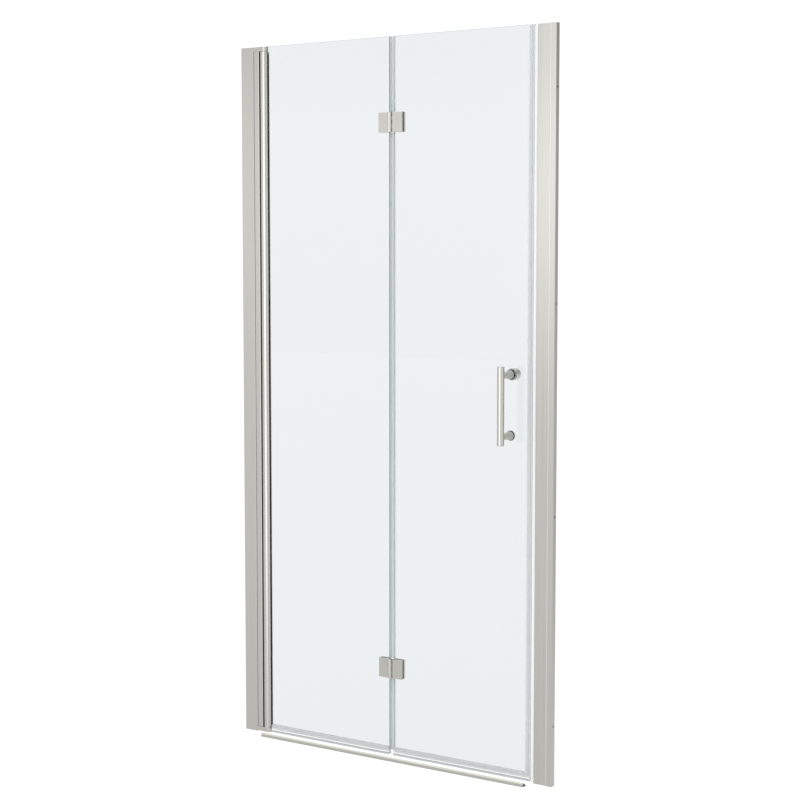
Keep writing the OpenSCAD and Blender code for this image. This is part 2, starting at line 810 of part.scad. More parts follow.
// Outside hinge plate; first is its lowest knuckle and bore the hole for the pin.
module outside_plate(first, bore) {
    own = [for (k = [first : 2 : knuckle_count - 1]) k];
    other = [for (k = [1 - first : 2 : knuckle_count - 1]) k];
    difference() {
        union() {
            raised(-hinge_h / 2, hinge_h / 2) plate_plan();
            for (k = own)
                translate([0, 0, knuckle_z(k) + knuckle_gap / 2])
                    cylinder(r = barrel_r, h = knuckle_h - knuckle_gap);
        }
        for (k = other)
            translate([0, 0, knuckle_z(k) - knuckle_gap / 2])
                cylinder(r = knuckle_room_r, h = knuckle_h + knuckle_gap);
        translate([0, 0, -hinge_h]) cylinder(r = hinge_pin_r + bore, h = 2 * hinge_h);
        for (z = clamp_zs)
            translate([clamp_x, 0, z])
                rod_y(clamp_r + thread_gap, plate_back_y - clamp_bite, plate_back_y + through);
    }
}

// Inside clamp plate with counterbored screw holes.
module inside_plate() {
    back_y = back_plate_y + back_plate_t;
    seat_y = back_y - clamp_head_h - through_gap;
    difference() {
        translate([back_plate_x, back_plate_y, -hinge_h / 2])
            cube([plate_reach - back_plate_x, back_plate_t, hinge_h]);
        for (z = clamp_zs) translate([clamp_x, 0, z]) {
            rod_y(clamp_r + through_gap, 0, back_y);
            rod_y(clamp_head_r + through_gap, seat_y, back_y + through);
        }
    }
}

// Both gaskets of a hinge leaf; the outside one carries the bushes in the glass.
module clamp_gaskets() {
    w = plate_reach - back_plate_x;
    glass_front = fold_out - glass_half;
    glass_back = fold_out + glass_half;
    difference() {
        union() {
            translate([back_plate_x, plate_back_y, -hinge_h / 2])
                cube([w, hinge_gasket_t, hinge_h]);
            translate([back_plate_x, glass_back, -hinge_h / 2])
                cube([w, hinge_gasket_t, hinge_h]);
            for (z = clamp_zs) translate([clamp_x, 0, z])
                rod_y(hinge_hole_r - bush_gap, glass_front - hinge_gasket_t / 2,
                    glass_back - seal_fit);
        }
        for (z = clamp_zs) translate([clamp_x, 0, z])
            rod_y(clamp_r + through_gap, 0, back_plate_y + through);
    }
}

// Cap screws that clamp the glass between the plates.
module clamp_screws() {
    head_top = back_plate_y + back_plate_t - through_gap;
    head_seat = head_top - clamp_head_h;
    for (z = clamp_zs) translate([clamp_x, 0, z]) difference() {
        union() {
            rod_y(clamp_r, plate_back_y - clamp_bite, head_seat + clamp_head_h / 2);
            rod_y(clamp_head_r, head_seat, head_top);
        }
        translate([0, head_seat + clamp_head_h / 2, 0]) rotate([-90, 0, 0])
            cylinder(r = clamp_r, h = clamp_head_h, $fn = 6);
    }
}

module hinge_pin() {
    translate([0, 0, -hinge_h / 2]) cylinder(r = hinge_pin_r, h = hinge_h);
}

module upper_left_hinge_plate() {
    color(polished) at_hinge(upper_hinge_z, left = true) outside_plate(0, pin_running);
}

module lower_left_hinge_plate() {
    color(polished) at_hinge(lower_hinge_z, left = true) outside_plate(0, pin_running);
}

module upper_left_back_plate() {
    color(polished) at_hinge(upper_hinge_z, left = true) inside_plate();
}

module lower_left_back_plate() {
    color(polished) at_hinge(lower_hinge_z, left = true) inside_plate();
}

module left_hinge_gaskets() {
    color(black_rubber) for (z = hinge_zs) at_hinge(z, left = true) clamp_gaskets();
}

module left_hinge_screws() {
    color(zinc) for (z = hinge_zs) at_hinge(z, left = true) clamp_screws();
}

module upper_right_hinge_plate() {
    color(polished) at_hinge(upper_hinge_z) outside_plate(1, pin_fixed);
}

module lower_right_hinge_plate() {
    color(polished) at_hinge(lower_hinge_z) outside_plate(1, pin_fixed);
}

module upper_right_back_plate() {
    color(polished) at_hinge(upper_hinge_z) inside_plate();
}

module lower_right_back_plate() {
    color(polished) at_hinge(lower_hinge_z) inside_plate();
}

module right_hinge_gaskets() {
    color(black_rubber) for (z = hinge_zs) at_hinge(z) clamp_gaskets();
}

module right_hinge_screws() {
    color(zinc) for (z = hinge_zs) at_hinge(z) clamp_screws();
}

module upper_hinge_pin() {
    color(zinc) at_hinge(upper_hinge_z) hinge_pin();
}

module lower_hinge_pin() {
    color(zinc) at_hinge(lower_hinge_z) hinge_pin();
}

// ---- Handle ----

// Outline of the handle bar: half of its length section, with rounded ends.
module handle_bar() {
    r = handle_round;
    top = handle_l / 2;
    color(polished) translate([handle_x, -handle_out, handle_z]) rotate_extrude()
        polygon(concat([[0, -top]], arc(handle_r - r, r - top, r, -90, 0),
            arc(handle_r - r, top - r, r, 0, 90), [[0, top]]));
}

// Post from the glass to the bar: rimmed foot, flare, neck, saddle against the bar.
module handle_post() {
    length = handle_out - glass_half - foot_gasket_t;
    flare_end = foot_rim + foot_flare;
    sag = foot_r - neck_r;
    flare_r = (foot_flare * foot_flare + sag * sag) / (2 * sag);
    flare_a = asin(foot_flare / flare_r);
    difference() {
        translate([0, foot_y, 0]) mirror([0, 1, 0])
            turned_y(concat([[0, 0], [foot_r, 0], [foot_r, foot_rim]],
                arc(neck_r + flare_r, flare_end, flare_r, 180 + flare_a, 180),
                [[neck_r, length], [0, length]]));
        translate([0, -handle_out, -handle_pitch / 2])
            cylinder(r = handle_r + thread_gap, h = handle_pitch);
        rod_y(stud_r + thread_gap, foot_y - stud_bite, foot_y + through);
    }
}

module upper_handle_post() {
    color(polished) translate([handle_x, 0, handle_zs[0]]) handle_post();
}

module lower_handle_post() {
    color(polished) translate([handle_x, 0, handle_zs[1]]) handle_post();
}

// Flanged bushes through the glass and washers behind it.
module handle_gaskets() {
    color(black_rubber) for (z = handle_zs) translate([handle_x, 0, z]) difference() {
        union() {
            rod_y(foot_r + foot_gasket_show, foot_y, -glass_half);
            rod_y(bush_r, foot_y / 2 - glass_half / 2, glass_half - seal_fit);
            rod_y(back_cap_r, glass_half, back_face_y);
        }
        rod_y(stud_r + through_gap, foot_y - through, back_face_y + through);
    }
}

module inside_knob() {
    r = knob_round;
    color(polished) translate([handle_x, back_face_y, handle_zs[0]]) difference() {
        turned_y(concat([[0, 0], [knob_r - 1, 0], [knob_r, 1]],
            arc(knob_r - r, knob_l - r, r, 0, 90), [[0, knob_l]]));
        rod_y(stud_r + thread_gap, -through, stud_bite);
    }
}

module back_cap() {
    color(polished) translate([handle_x, back_face_y, handle_zs[1]]) difference() {
        turned_y(concat([[0, 0], [back_cap_r, 0]],
            arc(back_cap_r - 1, back_cap_t - 1, 1, 0, 90), [[0, back_cap_t]]));
        rod_y(stud_r + thread_gap, -through, back_cap_bite);
    }
}

module handle_studs() {
    reach = [stud_bite, back_cap_bite];
    color(zinc) for (i = [0, 1]) translate([handle_x, 0, handle_zs[i]])
        rod_y(stud_r, foot_y - stud_bite, back_face_y + reach[i]);
}

left_wall_profile();
left_adjusting_profile();
left_profile_screws();
left_screw_caps();
left_top_cap();
post_wiper_seal();
top_pivot_bracket();
bottom_pivot_bracket();
bracket_screws();
top_pivot_pin();
bottom_pivot_pin();
pivot_washers();
right_wall_profile();
right_adjusting_profile();
right_profile_screws();
right_screw_caps();
right_top_cap();
right_bottom_cap();
frame_magnet_strip();
threshold_bar();
pivot_post();
post_top_cap();
post_bottom_cap();
post_gasket();
left_glass();
left_bottom_seal();
upper_left_hinge_plate();
lower_left_hinge_plate();
upper_left_back_plate();
lower_left_back_plate();
left_hinge_gaskets();
left_hinge_screws();
right_glass();
centre_seal();
door_magnet_seal();
door_magnet();
right_bottom_seal();
upper_right_hinge_plate();
lower_right_hinge_plate();
upper_right_back_plate();
lower_right_back_plate();
right_hinge_gaskets();
right_hinge_screws();
upper_hinge_pin();
lower_hinge_pin();
handle_bar();
upper_handle_post();
lower_handle_post();
handle_gaskets();
inside_knob();
back_cap();
handle_studs();
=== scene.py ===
"""Dresses a bifold shower door: glass leaves, brushed profiles, hinges, handle and seals.

Metres throughout, in the frame of the construction: the origin is the foot of the left wall
face, +X runs along the closed door, +Y into the shower and +Z up. Sizes named _mm are in
millimetres.
"""

import json
import logging
import math
from collections.abc import Callable
from dataclasses import dataclass
from enum import Enum

import bmesh
import bpy
from bpy.types import Node, NodeSocket, NodeTree, Object
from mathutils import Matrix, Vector


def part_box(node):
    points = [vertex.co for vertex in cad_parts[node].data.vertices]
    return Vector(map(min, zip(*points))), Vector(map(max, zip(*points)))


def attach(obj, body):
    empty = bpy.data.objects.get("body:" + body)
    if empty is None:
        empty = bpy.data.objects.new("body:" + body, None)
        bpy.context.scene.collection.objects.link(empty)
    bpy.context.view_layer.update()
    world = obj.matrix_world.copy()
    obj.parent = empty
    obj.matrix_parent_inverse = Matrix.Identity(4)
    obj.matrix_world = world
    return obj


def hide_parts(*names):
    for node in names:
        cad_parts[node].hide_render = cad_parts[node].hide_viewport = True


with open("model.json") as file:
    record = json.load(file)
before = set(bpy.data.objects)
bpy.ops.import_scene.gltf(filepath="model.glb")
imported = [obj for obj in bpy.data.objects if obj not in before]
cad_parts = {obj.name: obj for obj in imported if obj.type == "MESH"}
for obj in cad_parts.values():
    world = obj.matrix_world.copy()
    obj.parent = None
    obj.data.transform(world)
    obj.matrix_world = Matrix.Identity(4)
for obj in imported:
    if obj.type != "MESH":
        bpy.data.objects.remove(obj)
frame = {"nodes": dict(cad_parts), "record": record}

MM = 0.001
TOUCH = 0.01 * MM  # points that are closer than this lie at one place
SIDES = ("left", "right")
LEVELS = ("upper", "lower")
log = logging.getLogger("shower_door")

# Types of sizes, light and choices.
Pair = tuple[float, float]
Pairs = tuple[Pair, ...]
Triple = tuple[float, float, float]
Sizes = tuple[tuple[str, float], ...]  # each with the name of its solid
Light = NodeSocket | float  # from another node, or even
Picker = Callable[[Vector, Vector], bool]  # says whether a face or an edge is picked

# How a face is turned, by the share of its normal along an axis.
FLAT = 0.999  # square to the axis
FACING = 0.9  # nearly square to it
SIDEWAYS = 0.7  # about as much across the axis as along it
ALONG = 0.1  # running along the axis

# The curve of sRGB: straight up to a limit, and a power above it.
SRGB_LIMIT = 0.04045
SRGB_SLOPE = 12.92
SRGB_OFFSET = 0.055
SRGB_POWER = 2.4


# ---- Small tools ----


def linear(hex_colour: str) -> tuple[float, float, float, float]:
    """Turns an sRGB hex colour into linear red, green, blue and an alpha of one.

    Args:
        hex_colour: Six hex digits after a hash sign.

    Returns:
        The colour as Blender's sockets take it.
    """
    digits = hex_colour.lstrip("#")
    channels = [int(digits[i : i + 2], 16) / 255 for i in (0, 2, 4)]
    red, green, blue = (
        c / SRGB_SLOPE
        if c <= SRGB_LIMIT
        else ((c + SRGB_OFFSET) / (1 + SRGB_OFFSET)) ** SRGB_POWER
        for c in channels
    )
    return (red, green, blue, 1.0)


def add_node(
    tree: NodeTree,
    kind: str,
    inputs: dict[str | int, object] | None = None,
    **settings: object,
) -> Node:
    """Adds a node with its inputs and its settings.

    Args:
        tree: The node tree that takes the node.
        kind: The node's type name.
        inputs: By input socket, its value or the other node's socket that feeds it.
        **settings: Properties of the node itself.

    Returns:
        The new node.
    """
    node = tree.nodes.new(kind)
    for key, value in settings.items():
        setattr(node, key, value)
    for key, value in (inputs or {}).items():
        if isinstance(value, NodeSocket):
            tree.links.new(value, node.inputs[key])
        else:
            node.inputs[key].default_value = value
    return node


def deselect_all() -> None:
    """Leaves object mode with nothing selected."""
    if bpy.context.mode != "OBJECT":
        bpy.ops.object.mode_set(mode="OBJECT")
    bpy.ops.object.select_all(action="DESELECT")


def activate(piece: Object) -> None:
    """Makes one piece the only selected and the active object.

    Args:
        piece: The object to work on.
    """
    deselect_all()
    piece.select_set(True)
    bpy.context.view_layer.objects.active = piece


def apply_modifiers(piece: Object) -> None:
    """Applies every modifier of a piece to its mesh.

    Args:
        piece: The object whose modifiers are applied.
    """
    activate(piece)
    for modifier in list(piece.modifiers):
        bpy.ops.object.modifier_apply(modifier=modifier.name)


def settle(piece: Object) -> None:
    """Moves a piece's place, turn and size into its mesh."""
    activate(piece)
    bpy.ops.object.transform_apply(location=True, rotation=True, scale=True)


def slot_of(node: str) -> str:
    """Returns the record's material slot of a node."""
    slots = {part["node"]: part["material_slot"] for part in frame["record"]["subparts"]}
    return slots[node]


def body_of(node: str) -> str:
    """Returns the body that a node moves with."""
    bodies = frame["record"]["behaviour"]["bodies"].items()
    return next(body for body, nodes in bodies if node in nodes)


# ---- Finishes ----

# The pattern of every grain: one streak to a unit, with frayed edges.
STREAK_NOISE = {"Scale": 1.0, "Detail": 3.0, "Roughness": 0.6}
STREAK_LEVELS = (0.3, 0.7)  # noise at the darkest and at the lightest streaks
BUMP_STRENGTH = 0.6


@dataclass(frozen=True)
class Grain:
    """Fine streaks or speckles that a maker's process leaves in a surface.

    Attributes:
        across_mm: Width of one streak.
        along_mm: Length of one streak, along Z.
        depth: How much the streaks change the colour, as a share.
        rough: How much they change the roughness.
        bump_mm: Height of the streaks.
    """

    across_mm: float
    along_mm: float
    depth: float = 0.0
    rough: float = 0.0
    bump_mm: float = 0.0

    def noise(self, tree: NodeTree) -> NodeSocket:
        """Adds the streak pattern on Object coordinates.

        Args:
            tree: The material's node tree.

        Returns:
            The pattern's factor socket, 0 to 1.
        """
        place = add_node(tree, "ShaderNodeTexCoord")
        across, along = 1 / (self.across_mm * MM), 1 / (self.along_mm * MM)
        scale = {"Scale": (across, across, along), "Vector": place.outputs["Object"]}
        scaled = add_node(tree, "ShaderNodeMapping", scale)
        streaks = {**STREAK_NOISE, "Vector": scaled.outputs["Vector"]}
        return add_node(tree, "ShaderNodeTexNoise", streaks).outputs["Fac"]


@dataclass(frozen=True)
class Finish:
    """A surface as it is made: its colour, its gloss and its grain.

    Attributes:
        name: The material's plain name.
        colour: sRGB hex colour.
        metallic: One for bare metal, zero for plastic, rubber and glass.
        roughness: Microscopic roughness.
        grain: Streaks or speckles in the surface.
        ior: Index of refraction of what isn't metal.
    """

    name: str
    colour: str
    metallic: float
    roughness: float
    grain: Grain
    ior: float = 1.5

    def shader_values(self) -> dict[str, object]:
        """Lists the plain values of the main shader's sockets.

        Returns:
            The values by socket.
        """
        values: dict[str, object] = {
            "Base Color": linear(self.colour),
            "Metallic": self.metallic,
            "Roughness": self.roughness,
        }
        if self.metallic == 0.0:
            values["IOR"] = self.ior
        return values

    def add_grain(self, tree: NodeTree, shader: Node) -> None:
        """Drives colour, roughness and bump from the grain.

        Args:
            tree: The material's node tree.
            shader: The main shader.
        """
        factor, depth, rough = self.grain.noise(tree), self.grain.depth, self.grain.rough
        if depth:
            base = linear(self.colour)[:3]
            ramp = add_node(tree, "ShaderNodeValToRGB", {"Fac": factor})
            low, high = ramp.color_ramp.elements
            low.position, high.position = STREAK_LEVELS
            low.color = [c * (1 - depth) for c in base] + [1.0]
            high.color = [min(1.0, c * (1 + depth)) for c in base] + [1.0]
            tree.links.new(ramp.outputs["Color"], shader.inputs["Base Color"])
        if rough:
            limits = {"To Min": self.roughness - rough, "To Max": self.roughness + rough}
            spread = add_node(tree, "ShaderNodeMapRange", {**limits, "Value": factor})
            tree.links.new(spread.outputs["Result"], shader.inputs["Roughness"])
        if self.grain.bump_mm:
            height = {"Strength": BUMP_STRENGTH, "Distance": self.grain.bump_mm * MM}
            bump = add_node(tree, "ShaderNodeBump", {**height, "Height": factor})
            tree.links.new(bump.outputs["Normal"], shader.inputs["Normal"])

    def material(self) -> bpy.types.Material:
        """Makes the material, or looks it up if it is already made.

        Returns:
            The material.
        """
        if self.name in bpy.data.materials:
            return bpy.data.materials[self.name]
        material = bpy.data.materials.new(self.name)
        material.use_nodes = True
        tree = material.node_tree
        tree.nodes.clear()
        shader = add_node(tree, "ShaderNodeBsdfPrincipled", self.shader_values())
        self.add_grain(tree, shader)
        add_node(tree, "ShaderNodeOutputMaterial", {"Surface": self.surface(tree, shader)})
        return material

    def surface(self, tree: NodeTree, shader: Node) -> NodeSocket:
        """Returns the socket that the output reads; glass adds to it here."""
        return shader.outputs["BSDF"]


@dataclass(frozen=True)
class GlassFinish(Finish):
    """Clear glass that lets lamps through."""

    def shader_values(self) -> dict[str, object]:
        """Adds full clearness to the plain values."""
        return {**super().shader_values(), "Transmission Weight": 1.0}

    def surface(self, tree: NodeTree, shader: Node) -> NodeSocket:
        """Lets shadow rays pass, so that a clear pane casts hardly any shadow.

        Args:
            tree: The material's node tree.
            shader: The main shader.

        Returns:
            The socket that the output reads.
        """
        light = add_node(tree, "ShaderNodeLightPath")
        clear = add_node(tree, "ShaderNodeBsdfTransparent", {"Color": linear(self.colour)})
        both = {1: shader.outputs["BSDF"], 2: clear.outputs["BSDF"]}
        mix = add_node(tree, "ShaderNodeMixShader", {0: light.outputs["Is Shadow Ray"], **both})
        return mix.outputs["Shader"]


@dataclass(frozen=True)
class GlowingFinish(Finish):
    """A white sheet that is lit from behind as well, as a photographer's table is.

    Attributes:
        glow: Brightness of the light that comes through it.
    """

    glow: float = 1.0

    def shader_values(self) -> dict[str, object]:
        """Adds the glow to the plain values."""
        glow = {"Emission Color": (1.0, 1.0, 1.0, 1.0), "Emission Strength": self.glow}
        return {**super().shader_values(), **glow}


@dataclass(frozen=True)
class CloudyFinish(Finish):
    """A soft clear plastic that scatters part of the light and lets the rest through.

    Attributes:
        cover: Share of light that one skin scatters.
    """

    cover: float = 0.4

    def shader_values(self) -> dict[str, object]:
        """Adds the cover to the plain values."""
        return {**super().shader_values(), "Alpha": self.cover}


# Brushing lines are about 0.1 mm wide, too fine to show here, so they are drawn 1.5 mm wide.
LENGTHWISE_BRUSHING = Grain(across_mm=1.5, along_mm=600.0, depth=0.05, rough=0.04)
# The plates' and bars' brushing is finer and shorter: 0.05 mm, drawn 0.7 mm wide.
SATIN_BRUSHING = Grain(across_mm=0.7, along_mm=40.0, depth=0.03, rough=0.04)
# Shot blasting leaves 0.2 mm dimples, drawn 1 mm wide.
BLASTING = Grain(across_mm=1.0, along_mm=1.0, depth=0.03, rough=0.05, bump_mm=0.01)
# Tumbling rounds the tool marks to soft speckles.
TUMBLING = Grain(across_mm=0.6, along_mm=0.6, depth=0.03, rough=0.04)
# Moulds are spark eroded: a fine even texture.
MOULD_TEXTURE = Grain(across_mm=0.5, along_mm=0.5, depth=0.015, rough=0.04, bump_mm=0.005)
# Extruded rubber and vinyl carry the die's lines; they are about 0.3 mm wide, drawn 1 mm.
RUBBER_LINES = Grain(across_mm=1.0, along_mm=120.0, depth=0.15, rough=0.06, bump_mm=0.01)
VINYL_LINES = Grain(across_mm=1.2, along_mm=200.0, depth=0.02, rough=0.05)
# Rollers in the toughening furnace leave waves some 300 mm long.
ROLLER_WAVES = Grain(across_mm=300.0, along_mm=300.0, bump_mm=0.02)
# A grinding wheel runs along a pane's edge and leaves short streaks.
EDGE_GRINDING = Grain(across_mm=0.8, along_mm=30.0, depth=0.06, rough=0.05)


class Finishes(Enum):
    """The door's finishes, by the record's material slot."""

    # Extruded aluminium, brushed lengthwise and anodised: a soft grey with faint vertical streaks.
    brushed_profile = Finish(
        "brushed anodised aluminium", "#b0afab", 1.0, 0.16, LENGTHWISE_BRUSHING
    )
    # Pressure-cast zinc, blasted and nickel plated: nearly the profiles' colour, finely dimpled.
    bracket_metal = Finish("blasted plated zinc", "#afaeaa", 1.0, 0.22, BLASTING)
    # Cold-headed stainless steel, tumbled: bright with soft reflections.
    screw_steel = Finish("tumbled stainless steel", "#b4b3b0", 1.0, 0.28, TUMBLING)
    # Moulded ABS with a metallic lacquer: nearly the profiles' colour.
    cover_plastic = Finish("lacquered moulded abs", "#b3b2ac", 0.6, 0.35, MOULD_TEXTURE)
    # Extruded rubber: matt and nearly black.
    black_rubber = Finish("extruded rubber", "#161715", 0.0, 0.7, RUBBER_LINES, ior=1.36)
    # Moulded nylon with a nickel lacquer: carries the post's bright line on to the bracket.
    bearing_nylon = Finish("lacquered moulded nylon", "#b0afaa", 0.9, 0.26, MOULD_TEXTURE)
    # Magnetic strip in a white vinyl sleeve: smooth and bright.
    white_magnet = Finish("white extruded vinyl", "#d4d5d4", 0.0, 0.4, VINYL_LINES, ior=1.53)
    # Clear vinyl, extruded: a little cloudy, most where it is folded over itself.
    clear_pvc = CloudyFinish("clear extruded vinyl", "#dadbde", 0.0, 0.2, VINYL_LINES, ior=1.53)
    # Float glass, toughened: clear, with a faint green tint.
    tempered_glass = GlassFinish("toughened float glass", "#e4e7e8", 0.0, 0.0, ROLLER_WAVES)
    # Brass, brushed and nickel plated: warm, with soft bright lines on its round parts.
    satin_hardware = Finish("brushed satin nickel", "#b1afaa", 1.0, 0.14, SATIN_BRUSHING)
    # Bright-dipped and anodised aluminium: smooth, lighter than the profiles.
    threshold_aluminium = Finish(
        "bright anodised aluminium", "#a9a9a2", 1.0, 0.2, LENGTHWISE_BRUSHING
    )


# Painted highlight: the free lip of the right channel gets a lighter line down its front.
LIP_PAINTED_HIGHLIGHT = Finish(
    "anodised aluminium, painted highlight", "#c4c3be", 1.0, 0.16, LENGTHWISE_BRUSHING
)
# Bushes and inner gaskets of handle and hinges, moulded in natural nylon: milky, not black.
NATURAL_NYLON = Finish("natural moulded nylon", "#eff0ee", 0.0, 0.4, MOULD_TEXTURE, ior=1.53)
# Painted highlight: the knob's side and the clamp plates' ends get a lighter, glossier copy of the
# satin nickel.
NICKEL_PAINTED_HIGHLIGHT = Finish("satin nickel, painted highlight", "#d6d5d1", 1.0, 0.12, SATIN_BRUSHING)
# Painted shade: the threshold bar's inside faces are drawn nearly black, as the shade in its
# hollow mouth.
INSIDE_PAINTED_SHADE = Finish("aluminium inside, painted shade", "#2c2c29", 0.3, 0.7, TUMBLING)
# The seals' fins, below the rib, are drawn in a greyer and denser vinyl than the leg.
FIN_VINYL = CloudyFinish(
    "grey extruded fin vinyl", "#b3b5b7", 0.0, 0.35, VINYL_LINES, ior=1.53, cover=0.7
)
# The seal between the leaves is a hollow bulb: four walls behind each other look greyer.
BULB_VINYL = CloudyFinish("hollow extruded vinyl", "#c6c8cb", 0.0, 0.25, VINYL_LINES, ior=1.53)
# Painted light: where the bulb lies against the pane it is tinted with the green light of the
# glass edge.
VINYL_PAINTED_EDGE_LIGHT = CloudyFinish(
    "extruded vinyl, painted green edge light", "#9dc3bc", 0.0, 0.25, VINYL_LINES, ior=1.53, cover=0.6
)
# Painted highlight: the rib between leg and fin is drawn white, as a bright reflection along it.
RIB_PAINTED_HIGHLIGHT = Finish("extruded vinyl rib, painted highlight", "#e6e7e8", 0.0, 0.3, VINYL_LINES, ior=1.53)
# Ground and polished edge of a pane: light leaves it green.
GLASS_EDGE = Finish("polished glass edge", "#7eb3ab", 0.0, 0.12, EDGE_GRINDING, ior=1.52)
# The top edge of a pane is left as the wheel ground it: a thin, duller and darker line.
GROUND_EDGE = Finish("ground glass edge", "#5d8078", 0.0, 0.45, EDGE_GRINDING, ior=1.52)
# White acrylic sheet, matt coated and lit from behind: an even white that neither takes a
# strong shadow nor shines where it is seen flat.
STUDIO_SHEET = GlowingFinish(
    "opal acrylic",
    "#303030",
    0.0,
    0.9,
    Grain(across_mm=40.0, along_mm=40.0, rough=0.03),
    ior=1.1,
    glow=1.02,
)


def dress(piece: Object, finish: Finish) -> None:
    """Gives a piece one finish all over."""
    piece.data.materials.clear()
    piece.data.materials.append(finish.material())


def fit(piece: Object, *nodes: str) -> None:
    """Lets a finished piece stand for its solids and ride with them, in their finish.

    Args:
        piece: The finished piece.
        nodes: The solids that it stands for, all on one body.
    """
    slot = slot_of(nodes[0])
    dress(piece, Finishes[slot].value)
    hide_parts(*nodes)
    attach(piece, body_of(nodes[0]))
    log.info("%s: %d faces", piece.name, len(piece.data.polygons))


# ---- The bench ----

TURNED_ANGLE = 35.0  # degrees; turned pieces keep the crisp seams that meet at more than this


@dataclass
class Workpiece:
    """A new mesh on the bench, shaped by operators on what is picked in code.

    Attributes:
        piece: The object that is being shaped.
    """

    piece: Object

    @classmethod
    def round_bar(
        cls, name: str, middle: Vector, radius: float, length: float,
        along: str = "Z", sides: int = 64,
    ) -> "Workpiece":
        """Starts from a piece of round bar.

        Args:
            name: Name of the new piece.
            middle: Middle of the bar.
            radius: Its radius.
            length: Its length.
            along: The axis that it runs along, Y or Z.
            sides: Number of faces round it.

        Returns:
            The workpiece.
        """
        turn = (math.radians(90), 0.0, 0.0) if along == "Y" else (0.0, 0.0, 0.0)
        deselect_all()
        bpy.ops.mesh.primitive_cylinder_add(
            vertices=sides, radius=radius, depth=length, location=middle, rotation=turn
        )
        return cls.taken_up(name)

    @classmethod
    def turned(cls, node: str, along: str = "Z", sides: int = 64) -> "Workpiece":
        """Starts from a piece of round bar that fills a solid's box.

        Args:
            node: The solid.
            along: The axis that it runs along, Y or Z.
            sides: Number of faces round it.

        Returns:
            The workpiece.
        """
        low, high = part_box(node)
        length = high.y - low.y if along == "Y" else high.z - low.z
        radius = (high.x - low.x) / 2
        return cls.round_bar(f"turned_{node}", (low + high) / 2, radius, length, along, sides)

    @classmethod
    def block(cls, name: str, middle: Vector, size: Vector) -> "Workpiece":
        """Starts from a rectangular block.

        Args:
            name: Name of the new piece.
            middle: Middle of the block.
            size: Its size along the three axes.

        Returns:
            The workpiece.
        """
        deselect_all()
        bpy.ops.mesh.primitive_cube_add(size=1.0, location=middle, scale=size)
        return cls.taken_up(name)

    @classmethod
    def taken_up(cls, name: str) -> "Workpiece":
        """Takes up the primitive that was just added.

        Args:
            name: Its new name.

        Returns:
            The workpiece.
        """
        piece = bpy.context.object
        piece.name = name
        settle(piece)
        return cls(piece)

    @classmethod
    def eased(cls, node: str) -> "Workpiece":
        """Takes up the eased copy of a solid, to work on it further."""
        return cls(bpy.data.objects[f"eased_{node}"])

    def open(self, mode: str) -> bmesh.types.BMesh:
        """Opens the mesh for editing with nothing selected.

        Args:
            mode: What is picked, FACE or EDGE.

        Returns:
            The mesh in edit mode.
        """
        activate(self.piece)
        bpy.ops.object.mode_set(mode="EDIT")
        bpy.ops.mesh.select_mode(type=mode)
        bpy.ops.mesh.select_all(action="DESELECT")
        return bmesh.from_edit_mesh(self.piece.data)

    def pick_faces(self, wanted: Picker) -> None:
        """Selects faces and leaves the mesh open.

        Args:
            wanted: Takes a face's middle and normal and says whether it is picked.
        """
        mesh = self.open("FACE")
        for face in mesh.faces:
            face.select_set(wanted(face.calc_center_median(), face.normal))
        bmesh.update_edit_mesh(self.piece.data)

    def pick_edges(self, wanted: Picker) -> None:
        """Selects edges and leaves the mesh open.

        Args:
            wanted: Takes an edge's two ends and says whether it is picked.
        """
        mesh = self.open("EDGE")
        for edge in mesh.edges:
            edge.select_set(wanted(edge.verts[0].co, edge.verts[1].co))
        bmesh.update_edit_mesh(self.piece.data)

    def round_edges(self, wanted: Picker, radius_mm: float, segments: int) -> None:
        """Rounds the picked edges.

        Args:
            wanted: Takes an edge's two ends and says whether it is rounded.
            radius_mm: Radius of the rounding.
            segments: Faces across the rounding.
        """
        self.pick_edges(wanted)
        bpy.ops.mesh.bevel(offset=radius_mm * MM, segments=segments, affect="EDGES")
        deselect_all()

    def round_rim(self, y: float, radius_mm: float, segments: int) -> None:
        """Rounds the rim of an end that is square to Y.

        Args:
            y: Place of the end.
            radius_mm: Radius of the rounding.
            segments: Faces across the rounding.
        """

        def on_rim(a: Vector, b: Vector) -> bool:
            """Tells whether both ends of an edge lie at the end of the piece."""
            return max(abs(a.y - y), abs(b.y - y)) < TOUCH

        self.round_edges(on_rim, radius_mm, segments)

    def sink(self, wanted: Picker, steps: Pairs) -> None:
        """Insets the picked faces again and again, each time to a depth.

        Args:
            wanted: Takes a face's middle and normal and says whether it is picked.
            steps: Width and depth of each inset, in millimetres; a depth below zero goes in.
        """
        self.pick_faces(wanted)
        for width_mm, depth_mm in steps:
            bpy.ops.mesh.inset(thickness=width_mm * MM, depth=depth_mm * MM)
        deselect_all()

    def draw_out(self, step: Vector, factor: float, end: Vector) -> None:
        """Extrudes what is picked by a step and scales its new end by a factor round a point."""
        bpy.ops.mesh.extrude_region_move(TRANSFORM_OT_translate={"value": step})
        bpy.ops.transform.resize(value=(factor, factor, factor), center_override=end)

    def cut(self, cutter: "Workpiece") -> None:
        """Cuts another workpiece's shape out of this one and uses it up.

        Args:
            cutter: The shape to cut out.
        """
        modifier = self.piece.modifiers.new("cut", "BOOLEAN")
        modifier.operation = "DIFFERENCE"
        modifier.solver = "EXACT"
        modifier.object = cutter.piece
        apply_modifiers(self.piece)
        bpy.data.objects.remove(cutter.piece)

    def copied(self, name: str, shift: Vector) -> "Workpiece":
        """Makes a copy with its own mesh at another place.

        Args:
            name: Name of the copy.
            shift: Way from this piece to the copy.

        Returns:
            The copy.
        """
        activate(self.piece)
        bpy.ops.object.duplicate(linked=False)
        twin = bpy.context.object
        twin.name = name
        twin.location = shift
        settle(twin)
        return Workpiece(twin)

